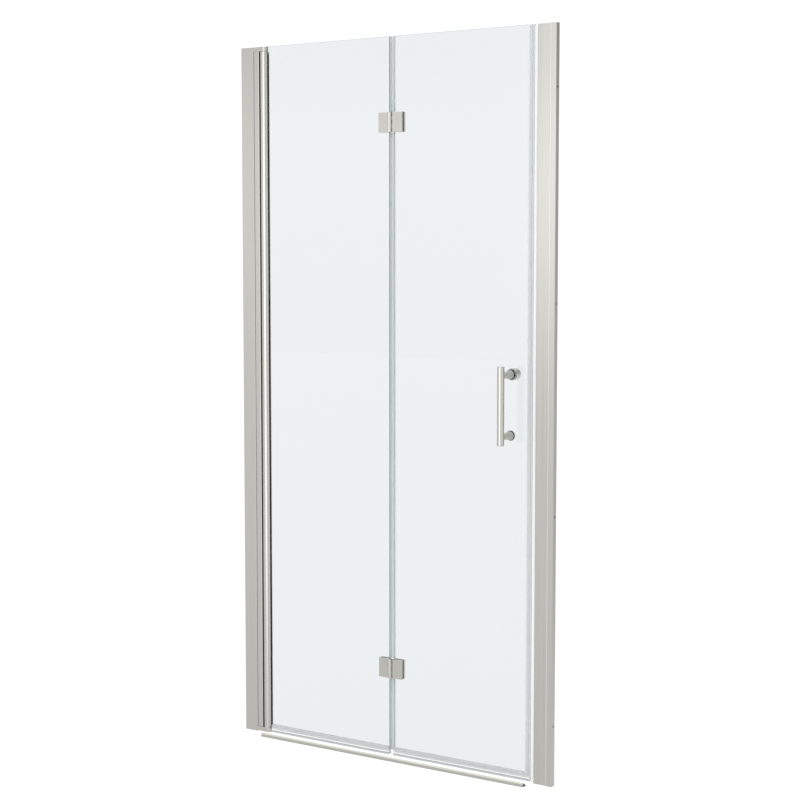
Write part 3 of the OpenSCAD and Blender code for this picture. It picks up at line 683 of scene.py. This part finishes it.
    def split(self, place: Vector, across: Vector) -> None:
        """Parts all faces along a plane, so that each side can get its own finish.

        Args:
            place: A point on the plane.
            across: The plane's normal.
        """
        self.open("FACE")
        bpy.ops.mesh.select_all(action="SELECT")
        bpy.ops.mesh.bisect(plane_co=place, plane_no=across)
        deselect_all()
        self.smooth()

    def mark(self, finish: Finish, wanted: Picker) -> None:
        """Gives some faces a finish of their own.

        Args:
            finish: The finish that they get.
            wanted: Takes a face's middle and normal and says whether it gets the finish.
        """
        mesh = self.piece.data
        mesh.materials.append(finish.material())
        for face in mesh.polygons:
            if wanted(face.center, face.normal):
                face.material_index = len(mesh.materials) - 1

    def join(self, others: list["Workpiece"]) -> None:
        """Takes other workpieces into this one's mesh.

        Args:
            others: The workpieces that are taken in.
        """
        activate(self.piece)
        for other in others:
            other.piece.select_set(True)
        bpy.ops.object.join()

    def smooth(self, angle: float = 40.0) -> None:
        """Shades the piece smooth over eased edges and leaves its flat faces flat.

        Args:
            angle: Faces that meet at less than this angle, in degrees, are shaded as one.
        """
        activate(self.piece)
        bpy.ops.object.shade_smooth_by_angle(angle=math.radians(angle))
        weighted = self.piece.modifiers.new("flat_faces_stay_flat", "WEIGHTED_NORMAL")
        weighted.keep_sharp = True
        apply_modifiers(self.piece)

    def finish_as(self, node: str) -> None:
        """Smooths a turned or moulded piece and lets it stand for its solids."""
        self.smooth(TURNED_ANGLE)
        fit(self.piece, node)

    def finish_pair(self, kind: str) -> None:
        """Copies an upper piece for its lower twin and finishes both.

        Args:
            kind: Name of both solids without their level.
        """
        upper, lower = (f"{level}_{kind}" for level in LEVELS)
        drop = Vector((0, 0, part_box(lower)[0].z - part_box(upper)[0].z))
        twin = self.copied(f"turned_{lower}", drop)
        self.finish_as(upper)
        twin.finish_as(lower)


@dataclass(frozen=True)
class Eased:
    """A copy of a solid whose sharp edges are eased, as the real piece's are.

    Attributes:
        node: Name of the solid.
        radius_mm: Radius of the eased edges.
        segments: Faces across one eased edge.
        corner_mm: Plan place, x and y on either side, and radius of a rounder corner.
        angle: Least angle of an edge that is eased, in degrees.
        weld_mm: Points of the solid that are closer than this become one.
        merge_angle: Triangles that meet at less than this angle, in degrees, become one face.
    """

    node: str
    radius_mm: float
    segments: int = 3
    corner_mm: Triple | None = None
    angle: float = 35.0
    weld_mm: float = 0.002
    merge_angle: float = 0.5

    def build(self) -> Object:
        """Copies the solid, merges its triangles, eases its edges and smooths it.

        Returns:
            The finished piece, which stands for the solid in its finish.
        """
        source = frame["nodes"][self.node]
        piece = source.copy()
        piece.data = source.data.copy()
        piece.name = f"eased_{self.node}"
        piece.parent = None
        piece.matrix_world = source.matrix_world.copy()
        bpy.context.scene.collection.objects.link(piece)
        activate(piece)
        bpy.ops.object.mode_set(mode="EDIT")
        bpy.ops.mesh.select_all(action="SELECT")
        bpy.ops.mesh.remove_doubles(threshold=self.weld_mm * MM)
        bpy.ops.mesh.dissolve_limited(angle_limit=math.radians(self.merge_angle))
        bpy.ops.object.mode_set(mode="OBJECT")
        if self.corner_mm:
            self.round_corner(Workpiece(piece))
        bevel = piece.modifiers.new("eased", "BEVEL")
        bevel.width = self.radius_mm * MM
        bevel.segments = self.segments
        bevel.limit_method = "ANGLE"
        bevel.angle_limit = math.radians(self.angle)
        apply_modifiers(piece)
        Workpiece(piece).smooth()
        settle(piece)
        fit(piece, self.node)
        return piece

    def round_corner(self, work: Workpiece) -> None:
        """Rounds the corner of an extrusion along its whole length.

        Args:
            work: The copy of the solid.
        """
        x, y, radius_mm = self.corner_mm
        place = Vector((x, y)) * MM

        def on_corner(at: Vector) -> bool:
            """Tells whether a point lies on the corner."""
            return (Vector((at.x, abs(at.y))) - place).length < TOUCH

        work.round_edges(lambda a, b: on_corner(a) and on_corner(b), radius_mm, segments=5)


# ---- Sub-assemblies ----


@dataclass
class SubAssembly:
    """Pieces of the door that belong together.

    Attributes:
        eased_mm: Radius of the eased edges of each solid that keeps its shape.
        corners_mm: Plan place and radius of the rounder corner that some of them have.
    """

    eased_mm: Sizes
    corners_mm: tuple[tuple[str, Triple], ...] = ()

    def build(self) -> None:
        """Makes the pieces whose shape is the solid's own."""
        for node, radius in self.eased_mm:
            Eased(node, radius, corner_mm=dict(self.corners_mm).get(node)).build()


@dataclass
class WallFrame(SubAssembly):
    """Wall channels, adjusting profiles, their caps, screws and the white magnet strip.

    Attributes:
        lip_mm: Width of the painted highlight along the lip of the right channel.
        lip_turn: Least share of a lip face's normal along Y.
        cover_count: Number of screw covers on each side.
        cover_dome_mm: Rounding of a cover's rim.
        cover_lip_mm: Widths and depths of the slopes of the lip that a fingernail catches.
        recess_mm: Length, width and depth of the cross recess in a bracket screw.
        head_dome_mm: Rounding of a screw head's rim.
        shank_mm: Radius of a bracket screw's shank.
        shank_taper: Radius of the shank's end as a share of that.
    """

    eased_mm: Sizes = (
        ("left_wall_profile", 0.3), ("left_adjusting_profile", 0.4), ("left_top_cap", 0.3),
        ("right_wall_profile", 0.3), ("right_adjusting_profile", 0.4), ("right_top_cap", 0.3),
        ("right_bottom_cap", 0.3), ("frame_magnet_strip", 0.5), ("post_wiper_seal", 0.4),
    )
    corners_mm: tuple[tuple[str, Triple], ...] = (
        ("left_wall_profile", (41.0, 7.5, 0.8)), ("left_adjusting_profile", (58.0, 5.7, 1.9)),
        ("right_wall_profile", (942.0, 7.5, 1.3)), ("right_adjusting_profile", (908.0, 5.7, 1.3)),
    )
    lip_mm: float = 3.4
    lip_turn: float = 0.2
    cover_count: int = 4
    cover_dome_mm: float = 1.0
    cover_lip_mm: Pairs = ((0.5, -0.15), (0.3, 0.15))
    recess_mm: Triple = (3.8, 0.9, 1.1)
    head_dome_mm: float = 1.1
    shank_mm: float = 2.0
    shank_taper: float = 0.8

    def build(self) -> None:
        """Makes the profiles, then the screw covers and the bracket screws."""
        super().build()
        self.burnish_lip(Workpiece.eased("right_wall_profile"))
        for side in SIDES:
            self.mould_covers(f"{side}_screw_caps")
        self.head_bracket_screws()

    def burnish_lip(self, channel: Workpiece) -> None:
        """Parts the lip off the channel's front and gives its front faces a painted highlight.

        Args:
            channel: The right channel.
        """
        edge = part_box("right_wall_profile")[0].x + self.lip_mm * MM
        channel.split(Vector((edge, 0.0, 0.0)), Vector((1.0, 0.0, 0.0)))
        # Painted highlight: the lip's front faces get a lighter copy of the profile's finish.
        channel.mark(LIP_PAINTED_HIGHLIGHT, lambda at, way: at.x < edge and abs(way.y) > self.lip_turn)

    def mould_covers(self, node: str) -> None:
        """Moulds one snap-on cover and copies it up the profile.

        Args:
            node: The solids of all covers on one side.
        """
        low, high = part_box(node)
        radius = (high.x - low.x) / 2
        middle = Vector(((low.x + high.x) / 2, (low.y + high.y) / 2, low.z + radius))
        cover = Workpiece.round_bar(f"moulded_{node}", middle, radius, high.y - low.y, "Y")
        cover.round_rim(high.y, self.cover_dome_mm, segments=5)
        cover.sink(lambda at, way: way.y > FLAT, self.cover_lip_mm)
        pitch = (high.z - low.z - 2 * radius) / (self.cover_count - 1)
        others = range(1, self.cover_count)
        cover.join([cover.copied(f"cover_{i}", Vector((0, 0, i * pitch))) for i in others])
        cover.finish_as(node)

    def head_bracket_screws(self) -> None:
        """Heads one bracket screw, cuts its cross recess and copies it to the top."""
        low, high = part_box("bracket_screws")
        radius = (high.x - low.x) / 2
        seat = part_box("left_adjusting_profile")[1].y
        middle = Vector(((low.x + high.x) / 2, (seat + high.y) / 2, low.z + radius))
        screw = Workpiece.round_bar("headed_bracket_screws", middle, radius, high.y - seat, "Y")
        screw.pick_faces(lambda at, way: way.y < -FLAT)
        bpy.ops.mesh.inset(thickness=radius - self.shank_mm * MM)
        end = Vector((middle.x, low.y, middle.z))
        screw.draw_out(Vector((0, low.y - seat, 0)), self.shank_taper, end)
        screw.round_rim(high.y, self.head_dome_mm, segments=5)
        length, width, depth = (value * MM for value in self.recess_mm)
        mouth = Vector((middle.x, high.y, middle.z))
        for size in ((length, 2 * depth, width), (width, 2 * depth, length)):
            screw.cut(Workpiece.block("recess", mouth, Vector(size)))
        screw.join([screw.copied("upper_screw", Vector((0, 0, high.z - low.z - 2 * radius)))])
        screw.finish_as("bracket_screws")


@dataclass
class PivotPost(SubAssembly):
    """Pivot post with its brackets, bearing caps and glass gasket."""

    eased_mm: Sizes = (
        ("pivot_post", 0.3), ("post_top_cap", 0.3), ("post_bottom_cap", 0.3),
        ("post_gasket", 0.3), ("top_pivot_bracket", 0.6), ("bottom_pivot_bracket", 0.6),
    )


@dataclass
class GlassLeaves:
    """The two toughened panes, with ground and polished edges.

    Attributes:
        arris_mm: Width of the arris along each edge.
        rim_turn: Largest share of a rim face's normal along Y.
        panes: The panes' solids.
    """

    arris_mm: float = 1.2
    rim_turn: float = 0.95
    panes: tuple[str, ...] = ("left_glass", "right_glass")

    def build(self) -> None:
        """Makes both panes, with a polished rim and a ground top edge."""
        for node in self.panes:
            pane = Workpiece(Eased(node, self.arris_mm, segments=1).build())
            pane.mark(GLASS_EDGE, lambda at, way: abs(way.y) < self.rim_turn)
            pane.mark(GROUND_EDGE, lambda at, way: way.z > ALONG and abs(way.y) < self.rim_turn)


@dataclass
class ClearSeals(SubAssembly):
    """Clear seals under the leaves, between them and on the free edge.

    Attributes:
        rib_mm: Lower and upper height of the bottom seals' rib, and how far it stands out.
        lit_mm: Width of the bulb's side that lies against the glass edge and gets the painted
            green edge light.
    """

    eased_mm: Sizes = (
        ("left_bottom_seal", 0.3), ("right_bottom_seal", 0.3),
        ("centre_seal", 0.25), ("door_magnet_seal", 0.3),
    )
    rib_mm: Triple = (9.1, 11.6, 0.4)
    lit_mm: float = 2.4

    def build(self) -> None:
        """Makes the seals, then the bulb's finish with its painted green edge light, and the rib
        (painted highlight) and fin of the bottom ones.
        """
        super().build()
        bulb = Workpiece.eased("centre_seal")
        bulb.mark(BULB_VINYL, lambda at, way: True)
        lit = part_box("centre_seal")[0].x + self.lit_mm * MM
        # Painted green edge light on the bulb's side against the pane.
        bulb.mark(VINYL_PAINTED_EDGE_LIGHT, lambda at, way: at.x < lit)
        for side in SIDES:
            self.raise_rib(Workpiece.eased(f"{side}_bottom_seal"))

    def raise_rib(self, seal: Workpiece) -> None:
        """Raises the rib on a bottom seal's outside, gives the fin its greyer vinyl and the rib a
        painted highlight.

        Args:
            seal: The bottom seal.
        """
        low_mm, high_mm, rise_mm = self.rib_mm
        low, high = low_mm * MM, high_mm * MM
        for height in (low, high):
            seal.split(Vector((0.0, 0.0, height)), Vector((0.0, 0.0, 1.0)))
        rib = ((rise_mm / 2, rise_mm),)
        seal.sink(lambda at, way: way.y < -FACING and low < at.z < high, rib)
        seal.smooth()
        seal.mark(FIN_VINYL, lambda at, way: at.z < low)
        # Painted highlight along the rib.
        seal.mark(RIB_PAINTED_HIGHLIGHT, lambda at, way: low < at.z < high)


@dataclass
class FoldHinges(SubAssembly):
    """Both fold hinges: plates with knuckles, pins, clamp plates and clamp screws.

    Attributes:
        pin_dome_mm: Rounding of the pins' ends.
    """

    eased_mm: Sizes = (
        *((f"{level}_{side}_hinge_plate", 0.4) for side in SIDES for level in LEVELS),
        *((f"{level}_{side}_back_plate", 0.6) for side in SIDES for level in LEVELS),
        *((f"{side}_hinge_gaskets", 0.2) for side in SIDES),
        *((f"{side}_hinge_screws", 0.25) for side in SIDES),
    )
    pin_dome_mm: float = 0.6

    def build(self) -> None:
        """Makes the plates, then turns the upper pin and copies it for the lower hinge."""
        super().build()
        self.finish_inside()
        pin = Workpiece.turned("upper_hinge_pin")
        pin.round_edges(lambda a, b: abs(a.z - b.z) < TOUCH, self.pin_dome_mm, segments=4)
        pin.finish_pair("hinge_pin")

    def finish_inside(self) -> None:
        """Gives the inner gaskets their milky nylon and the clamp plates' ends a painted
        highlight.
        """
        for side in SIDES:
            gaskets = Workpiece.eased(f"{side}_hinge_gaskets")
            gaskets.mark(NATURAL_NYLON, lambda at, way: at.y > 0.0)
            for level in LEVELS:
                plate = Workpiece.eased(f"{level}_{side}_back_plate")
                # Painted highlight: the clamp plate's ends, square to X, get the lighter nickel.
                plate.mark(NICKEL_PAINTED_HIGHLIGHT, lambda at, way: abs(way.x) > FLAT)


@dataclass
class PullHandle(SubAssembly):
    """Bar handle with flared posts, an inside knob and a small back cap.

    Attributes:
        sides: Number of faces round the bar, the posts and the knob.
        bar_round_mm: Rounding of the bar's ends.
        plug_mm: Width and depth of the seam round the bar's end plugs.
        foot_mm: Length of a post's straight foot.
        foot_round_mm: Rounding of the foot's edge.
        flare_mm: Length of the flare between foot and neck.
        flare_steps: Number of rings in the flare.
        neck_mm: Radius of a post's neck.
        saddle_gap_mm: Clearance of the saddle round the bar.
        knob_round_mm: Rounding of the knob's face and of its edge at the glass.
        knob_ring_mm: Widths and depths of the steps of the ring in the knob's face.
        bearing_mm: Width of the nylon ring between knob and glass.
        bearing_step_mm: Width and depth of the step inside that ring.
        cap_round_mm: Rounding of the back cap.
        key_mm: Radius and depth of the hexagon recess in the back cap.
    """

    eased_mm: Sizes = (("handle_gaskets", 0.3),)
    sides: int = 96
    bar_round_mm: float = 1.5
    plug_mm: Pair = (0.25, -0.2)
    foot_mm: float = 5.5
    foot_round_mm: float = 0.4
    flare_mm: float = 17.0
    flare_steps: int = 10
    neck_mm: float = 8.4
    saddle_gap_mm: float = 0.02
    knob_round_mm: Pair = (2.0, 1.0)
    knob_ring_mm: Pairs = (
        (2.5, 0.0), (0.3, -0.3), (0.5, 0.0), (0.3, 0.3)
    )
    bearing_mm: float = 4.0
    bearing_step_mm: Pair = (0.3, -0.2)
    cap_round_mm: float = 1.0
    key_mm: Pair = (2.3, 0.8)

    def build(self) -> None:
        """Makes the bar, both posts, the knob and the back cap."""
        super().build()
        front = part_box("right_glass")[0].y
        gaskets = Workpiece.eased("handle_gaskets")
        gaskets.mark(NATURAL_NYLON, lambda at, way: at.y > front - TOUCH)
        self.turn_bar()
        self.turn_posts()
        self.turn_knob()
        self.turn_back_cap()

    def turn_bar(self) -> None:
        """Turns the bar, rounds its ends and marks the plugs that close it."""
        bar = Workpiece.turned("handle_bar", sides=self.sides)
        bar.round_edges(lambda a, b: abs(a.z - b.z) < TOUCH, self.bar_round_mm, segments=6)
        width, depth = self.plug_mm
        seam = ((width, 0.0), (width, depth), (width, -depth))
        bar.sink(lambda at, way: abs(way.z) > FLAT, seam)
        bar.finish_as("handle_bar")

    def turn_posts(self) -> None:
        """Turns the upper post, cuts its saddle and copies it for the lower one."""
        low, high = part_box("upper_handle_post")
        bar_low, bar_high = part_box("handle_bar")
        bar_y = ((bar_low + bar_high) / 2).y
        x, z = (low.x + high.x) / 2, (low.z + high.z) / 2
        radius = foot = (high.x - low.x) / 2
        length = self.foot_mm * MM
        y = high.y - length
        middle = Vector((x, high.y - length / 2, z))
        name = "turned_upper_handle_post"
        post = Workpiece.round_bar(name, middle, radius, length, "Y", self.sides)
        post.pick_faces(lambda at, way: way.y < -FLAT)
        step = self.flare_mm * MM / self.flare_steps
        for ring in range(1, self.flare_steps + 1):
            y -= step
            wanted = self.flare_radius(ring / self.flare_steps, foot)
            post.draw_out(Vector((0, -step, 0)), wanted / radius, Vector((x, y, z)))
            radius = wanted
        bar_middle = Vector((x, bar_y, z))
        post.draw_out(Vector((0, bar_y - y, 0)), 1.0, bar_middle)
        post.round_rim(high.y, self.foot_round_mm, segments=3)
        bar_radius = (bar_high.x - bar_low.x) / 2 + self.saddle_gap_mm * MM
        saddle = ("saddle", bar_middle, bar_radius, 4 * radius)
        post.cut(Workpiece.round_bar(*saddle, sides=self.sides))
        post.finish_pair("handle_post")

    def flare_radius(self, share: float, foot: float) -> float:
        """Gives the radius of a post along its flare, an arc that ends along the neck.

        Args:
            share: Way along the flare, 0 at the foot and 1 at the neck.
            foot: Radius at the foot.

        Returns:
            The radius there.
        """
        neck, length = self.neck_mm * MM, self.flare_mm * MM
        sag = foot - neck
        arc = (length * length + sag * sag) / (2 * sag)
        return neck + arc - math.sqrt(arc * arc - (length * (1 - share)) ** 2)

    def turn_knob(self) -> None:
        """Turns the inside knob: a ring in its face and a nylon ring that bears on the glass."""
        low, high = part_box("inside_knob")
        face_round, edge_round = self.knob_round_mm
        knob = Workpiece.turned("inside_knob", "Y", self.sides)
        knob.round_rim(high.y, face_round, segments=6)
        knob.round_rim(low.y, edge_round, segments=3)
        knob.sink(lambda at, way: way.y > FLAT, self.knob_ring_mm)
        knob.sink(lambda at, way: way.y < -FLAT, ((self.bearing_mm, 0.0), self.bearing_step_mm))
        knob.finish_as("inside_knob")
        middle = (low + high) / 2
        inner = (high.x - low.x) / 2 - (self.bearing_mm + edge_round) * MM

        def bears(at: Vector, way: Vector) -> bool:
            """Tells the faces that bear on the glass."""
            return way.y < -FLAT and math.hypot(at.x - middle.x, at.z - middle.z) > inner

        # Painted highlight: the knob's side gets the lighter nickel.
        knob.mark(NICKEL_PAINTED_HIGHLIGHT, lambda at, way: abs(way.y) < SIDEWAYS)
        knob.mark(NATURAL_NYLON, bears)

    def turn_back_cap(self) -> None:
        """Turns the back cap, domes it and cuts its hexagon recess."""
        low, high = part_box("back_cap")
        cap = Workpiece.turned("back_cap", "Y")
        cap.round_rim(high.y, self.cap_round_mm, segments=4)
        radius, depth = (value * MM for value in self.key_mm)
        middle = (low + high) / 2
        mouth = Vector((middle.x, high.y, middle.z))
        cap.cut(Workpiece.round_bar("key_recess", mouth, radius, 2 * depth, "Y", sides=6))
        cap.finish_as("back_cap")


@dataclass
class ThresholdBar(SubAssembly):
    """Loose hollow bar on the tray in front of the door."""

    eased_mm: Sizes = (("threshold_bar", 0.3),)

    def build(self) -> None:
        """Makes the bar, paints shade on the faces of its hollow, and keeps the bar out of the
        profile's mirror.
        """
        super().build()
        bar = Workpiece.eased("threshold_bar")
        low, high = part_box("threshold_bar")
        middle = Vector((0.0, (low.y + high.y) / 2, (low.z + high.z) / 2))

        def inside(at: Vector, way: Vector) -> bool:
            """Tells the faces of the hollow: they look at the bar's middle."""
            return abs(way.x) < ALONG and way.dot(middle - Vector((0.0, at.y, at.z))) > 0.0

        # Painted shade on the faces of the hollow.
        bar.mark(INSIDE_PAINTED_SHADE, inside)
        bar.piece.visible_glossy = False


def dress_solids() -> None:
    """Gives every solid the finish of its slot, which the hidden and inner ones keep."""
    for name, node in frame["nodes"].items():
        dress(node, Finishes[slot_of(name)].value)


# ---- Studio ----


@dataclass(frozen=True)
class Surroundings:
    """White studio round the door: its walls and floor are lit more on some sides than others.

    Directions are in degrees from -Y towards +X. Heights are on the unit sphere, 0 at the
    horizon and 1 overhead.

    Attributes:
        walls: Brightness of the walls by direction.
        floor: Brightness of the far floor by direction, as polished metal sees it.
        ceiling: Brightness of the lit ceiling.
        upper_share: Brightness of the upper walls as a share of the lower ones'.
        near_floor: Brightness of the floor close by.
        floor_heights: Where the far floor gives way to the walls.
        near_heights: Where the floor close by gives way to the far floor.
        upper_heights: Where the walls dim.
        ceiling_heights: Where the walls give way to the ceiling.
        backdrop: Brightness of what is seen directly or through the glass.
    """

    walls: Pairs = (
        (-180.0, 1.0), (-130.0, 1.4), (-60.0, 1.45), (-46.0, 1.35),
        (-38.0, 1.45), (-31.0, 1.5), (-26.0, 2.6), (12.0, 2.7),
        (20.0, 1.9), (26.0, 1.1), (42.0, 1.1), (58.0, 1.4),
        (112.0, 1.35), (126.0, 0.75), (165.0, 0.7), (180.0, 1.0),
    )
    floor: Pairs = (
        (-180.0, 1.0), (-130.0, 1.1), (-60.0, 1.15), (-46.0, 1.25),
        (-34.0, 1.14), (-26.0, 1.14), (-19.0, 2.5), (17.0, 2.5),
        (24.0, 1.6), (28.0, 1.05), (42.0, 1.05), (58.0, 1.35),
        (112.0, 1.35), (126.0, 0.85), (165.0, 0.85), (180.0, 1.0),
    )
    ceiling: float = 2.1
    upper_share: float = 0.78
    near_floor: float = 1.08
    floor_heights: Pair = (-0.1, 0.04)
    near_heights: Pair = (-0.28, -0.15)
    upper_heights: Pair = (0.07, 0.115)
    ceiling_heights: Pair = (0.55, 0.95)
    backdrop: float = 1.07

    def build(self) -> None:
        """Makes the world out of floor, walls, ceiling and backdrop."""
        world = bpy.data.worlds.new("white_studio")
        world.use_nodes = True
        tree = world.node_tree
        tree.nodes.clear()
        way = add_node(tree, "ShaderNodeTexCoord")
        parts = add_node(tree, "ShaderNodeSeparateXYZ", {0: way.outputs["Generated"]}).outputs
        forward = add_node(tree, "ShaderNodeMath", {0: parts["Y"], 1: -1.0}, operation="MULTIPLY")
        flat_way = {0: parts["X"], 1: forward.outputs[0]}
        angle = add_node(tree, "ShaderNodeMath", flat_way, operation="ARCTAN2")
        full_turn = {"Value": angle.outputs[0], "From Min": -math.pi, "From Max": math.pi}
        turn = add_node(tree, "ShaderNodeMapRange", full_turn).outputs["Result"]
        floor, walls = (
            self.by_direction(tree, turn, levels) for levels in (self.floor, self.walls)
        )
        height = parts["Z"]
        light = self.change(tree, height, self.near_heights, self.near_floor, floor)
        light = self.change(tree, height, self.floor_heights, light, walls)
        share = self.change(tree, height, self.upper_heights, 1.0, self.upper_share)
        dimmed = {0: light, 1: share}
        light = add_node(tree, "ShaderNodeMath", dimmed, operation="MULTIPLY").outputs[0]
        light = self.change(tree, height, self.ceiling_heights, light, self.ceiling)
        # One for what is seen directly or through the glass, and zero for all other light.
        path = add_node(tree, "ShaderNodeLightPath").outputs
        views = {0: path["Is Camera Ray"], 1: path["Is Transmission Ray"]}
        seen = add_node(tree, "ShaderNodeMath", views, operation="MAXIMUM").outputs[0]
        blend = {"Factor": seen, "A": light, "B": self.backdrop}
        shown = add_node(tree, "ShaderNodeMix", blend).outputs["Result"]
        shine = {"Color": (1.0, 1.0, 1.0, 1.0), "Strength": shown}
        background = add_node(tree, "ShaderNodeBackground", shine).outputs["Background"]
        add_node(tree, "ShaderNodeOutputWorld", {"Surface": background})
        bpy.context.scene.world = world

    def by_direction(self, tree: NodeTree, turn: NodeSocket, levels: Pairs) -> NodeSocket:
        """Adds a brightness that changes round the door.

        Args:
            tree: The world's node tree.
            turn: The direction, 0 to 1.
            levels: Directions and the brightness there.

        Returns:
            The brightness.
        """
        peak = max(level for _, level in levels)
        ramp = add_node(tree, "ShaderNodeValToRGB", {"Fac": turn})
        stops = ramp.color_ramp.elements
        while len(stops) < len(levels):
            stops.new(0.5)  # the loop below puts it in its place
        for stop, (degrees, level) in zip(stops, levels):
            stop.position = (degrees + 180) / 360
            stop.color = (level / peak, level / peak, level / peak, 1.0)
        brightness = {0: ramp.outputs["Color"], 1: peak}
        return add_node(tree, "ShaderNodeMath", brightness, operation="MULTIPLY").outputs[0]

    def change(
        self, tree: NodeTree, height: NodeSocket, heights: Pair, below: Light, above: Light
    ) -> NodeSocket:
        """Adds a soft change between two heights.

        Args:
            tree: The world's node tree.
            height: The way's own height.
            heights: Where the change starts and where it ends.
            below: What holds under it.
            above: What holds over it.

        Returns:
            What holds at the way's height.
        """
        low, high = heights
        rise = {"Value": height, "From Min": low, "From Max": high}
        share = add_node(tree, "ShaderNodeMapRange", rise, interpolation_type="SMOOTHSTEP")
        blend = {"Factor": share.outputs["Result"], "A": below, "B": above}
        return add_node(tree, "ShaderNodeMix", blend).outputs["Result"]


@dataclass
class Studio:
    """Pale floor, white surroundings and the photograph's camera.

    Attributes:
        lens_mm: Focal length.
        sensor_mm: Width of the frame that the lens is meant for.
        sight: How far the camera sees.
        camera_place: Where the camera stands.
        turn: How far the view is turned from +Y towards -X, in degrees.
        tip: How far it is tipped down, in degrees.
        floor_size: Side of the floor.
        surroundings: What lights the door.
    """

    lens_mm: float = 79.37
    sensor_mm: float = 36.0
    sight: float = 100.0
    camera_place: Triple = (3.0290, -3.7170, 1.3002)
    turn: float = 34.157
    tip: float = 4.696
    floor_size: float = 30.0
    surroundings: Surroundings = Surroundings()

    def build(self) -> None:
        """Sets the camera, the surroundings and the floor."""
        self.set_camera()
        self.surroundings.build()
        self.lay_floor()
        bpy.context.scene.view_settings.view_transform = "Standard"

    def set_camera(self) -> None:
        """Puts the camera where the photograph was taken from."""
        camera = bpy.data.cameras.new("photo_camera")
        camera.lens = self.lens_mm
        camera.sensor_width = self.sensor_mm
        camera.clip_end = self.sight
        holder = bpy.data.objects.new("photo_camera", camera)
        holder.location = self.camera_place
        holder.rotation_euler = (math.radians(90 - self.tip), 0.0, math.radians(self.turn))
        bpy.context.scene.collection.objects.link(holder)
        bpy.context.scene.camera = holder

    def lay_floor(self) -> None:
        """Lays the pale floor that the door stands on."""
        deselect_all()
        bpy.ops.mesh.primitive_plane_add(size=self.floor_size, location=(0.0, 0.0, 0.0))
        floor = bpy.context.object
        floor.name = "studio_floor"
        dress(floor, STUDIO_SHEET)
        floor.visible_glossy = False


def main() -> None:
    """Builds every sub-assembly in order."""
    logging.basicConfig(level=logging.INFO, format="%(name)s: %(message)s")
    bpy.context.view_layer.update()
    dress_solids()
    for assembly in (
        WallFrame(), PivotPost(), GlassLeaves(), ClearSeals(),
        FoldHinges(), PullHandle(), ThresholdBar(), Studio(),
    ):
        log.info("%s", type(assembly).__name__)
        assembly.build()


if __name__ == "__main__":
    main()
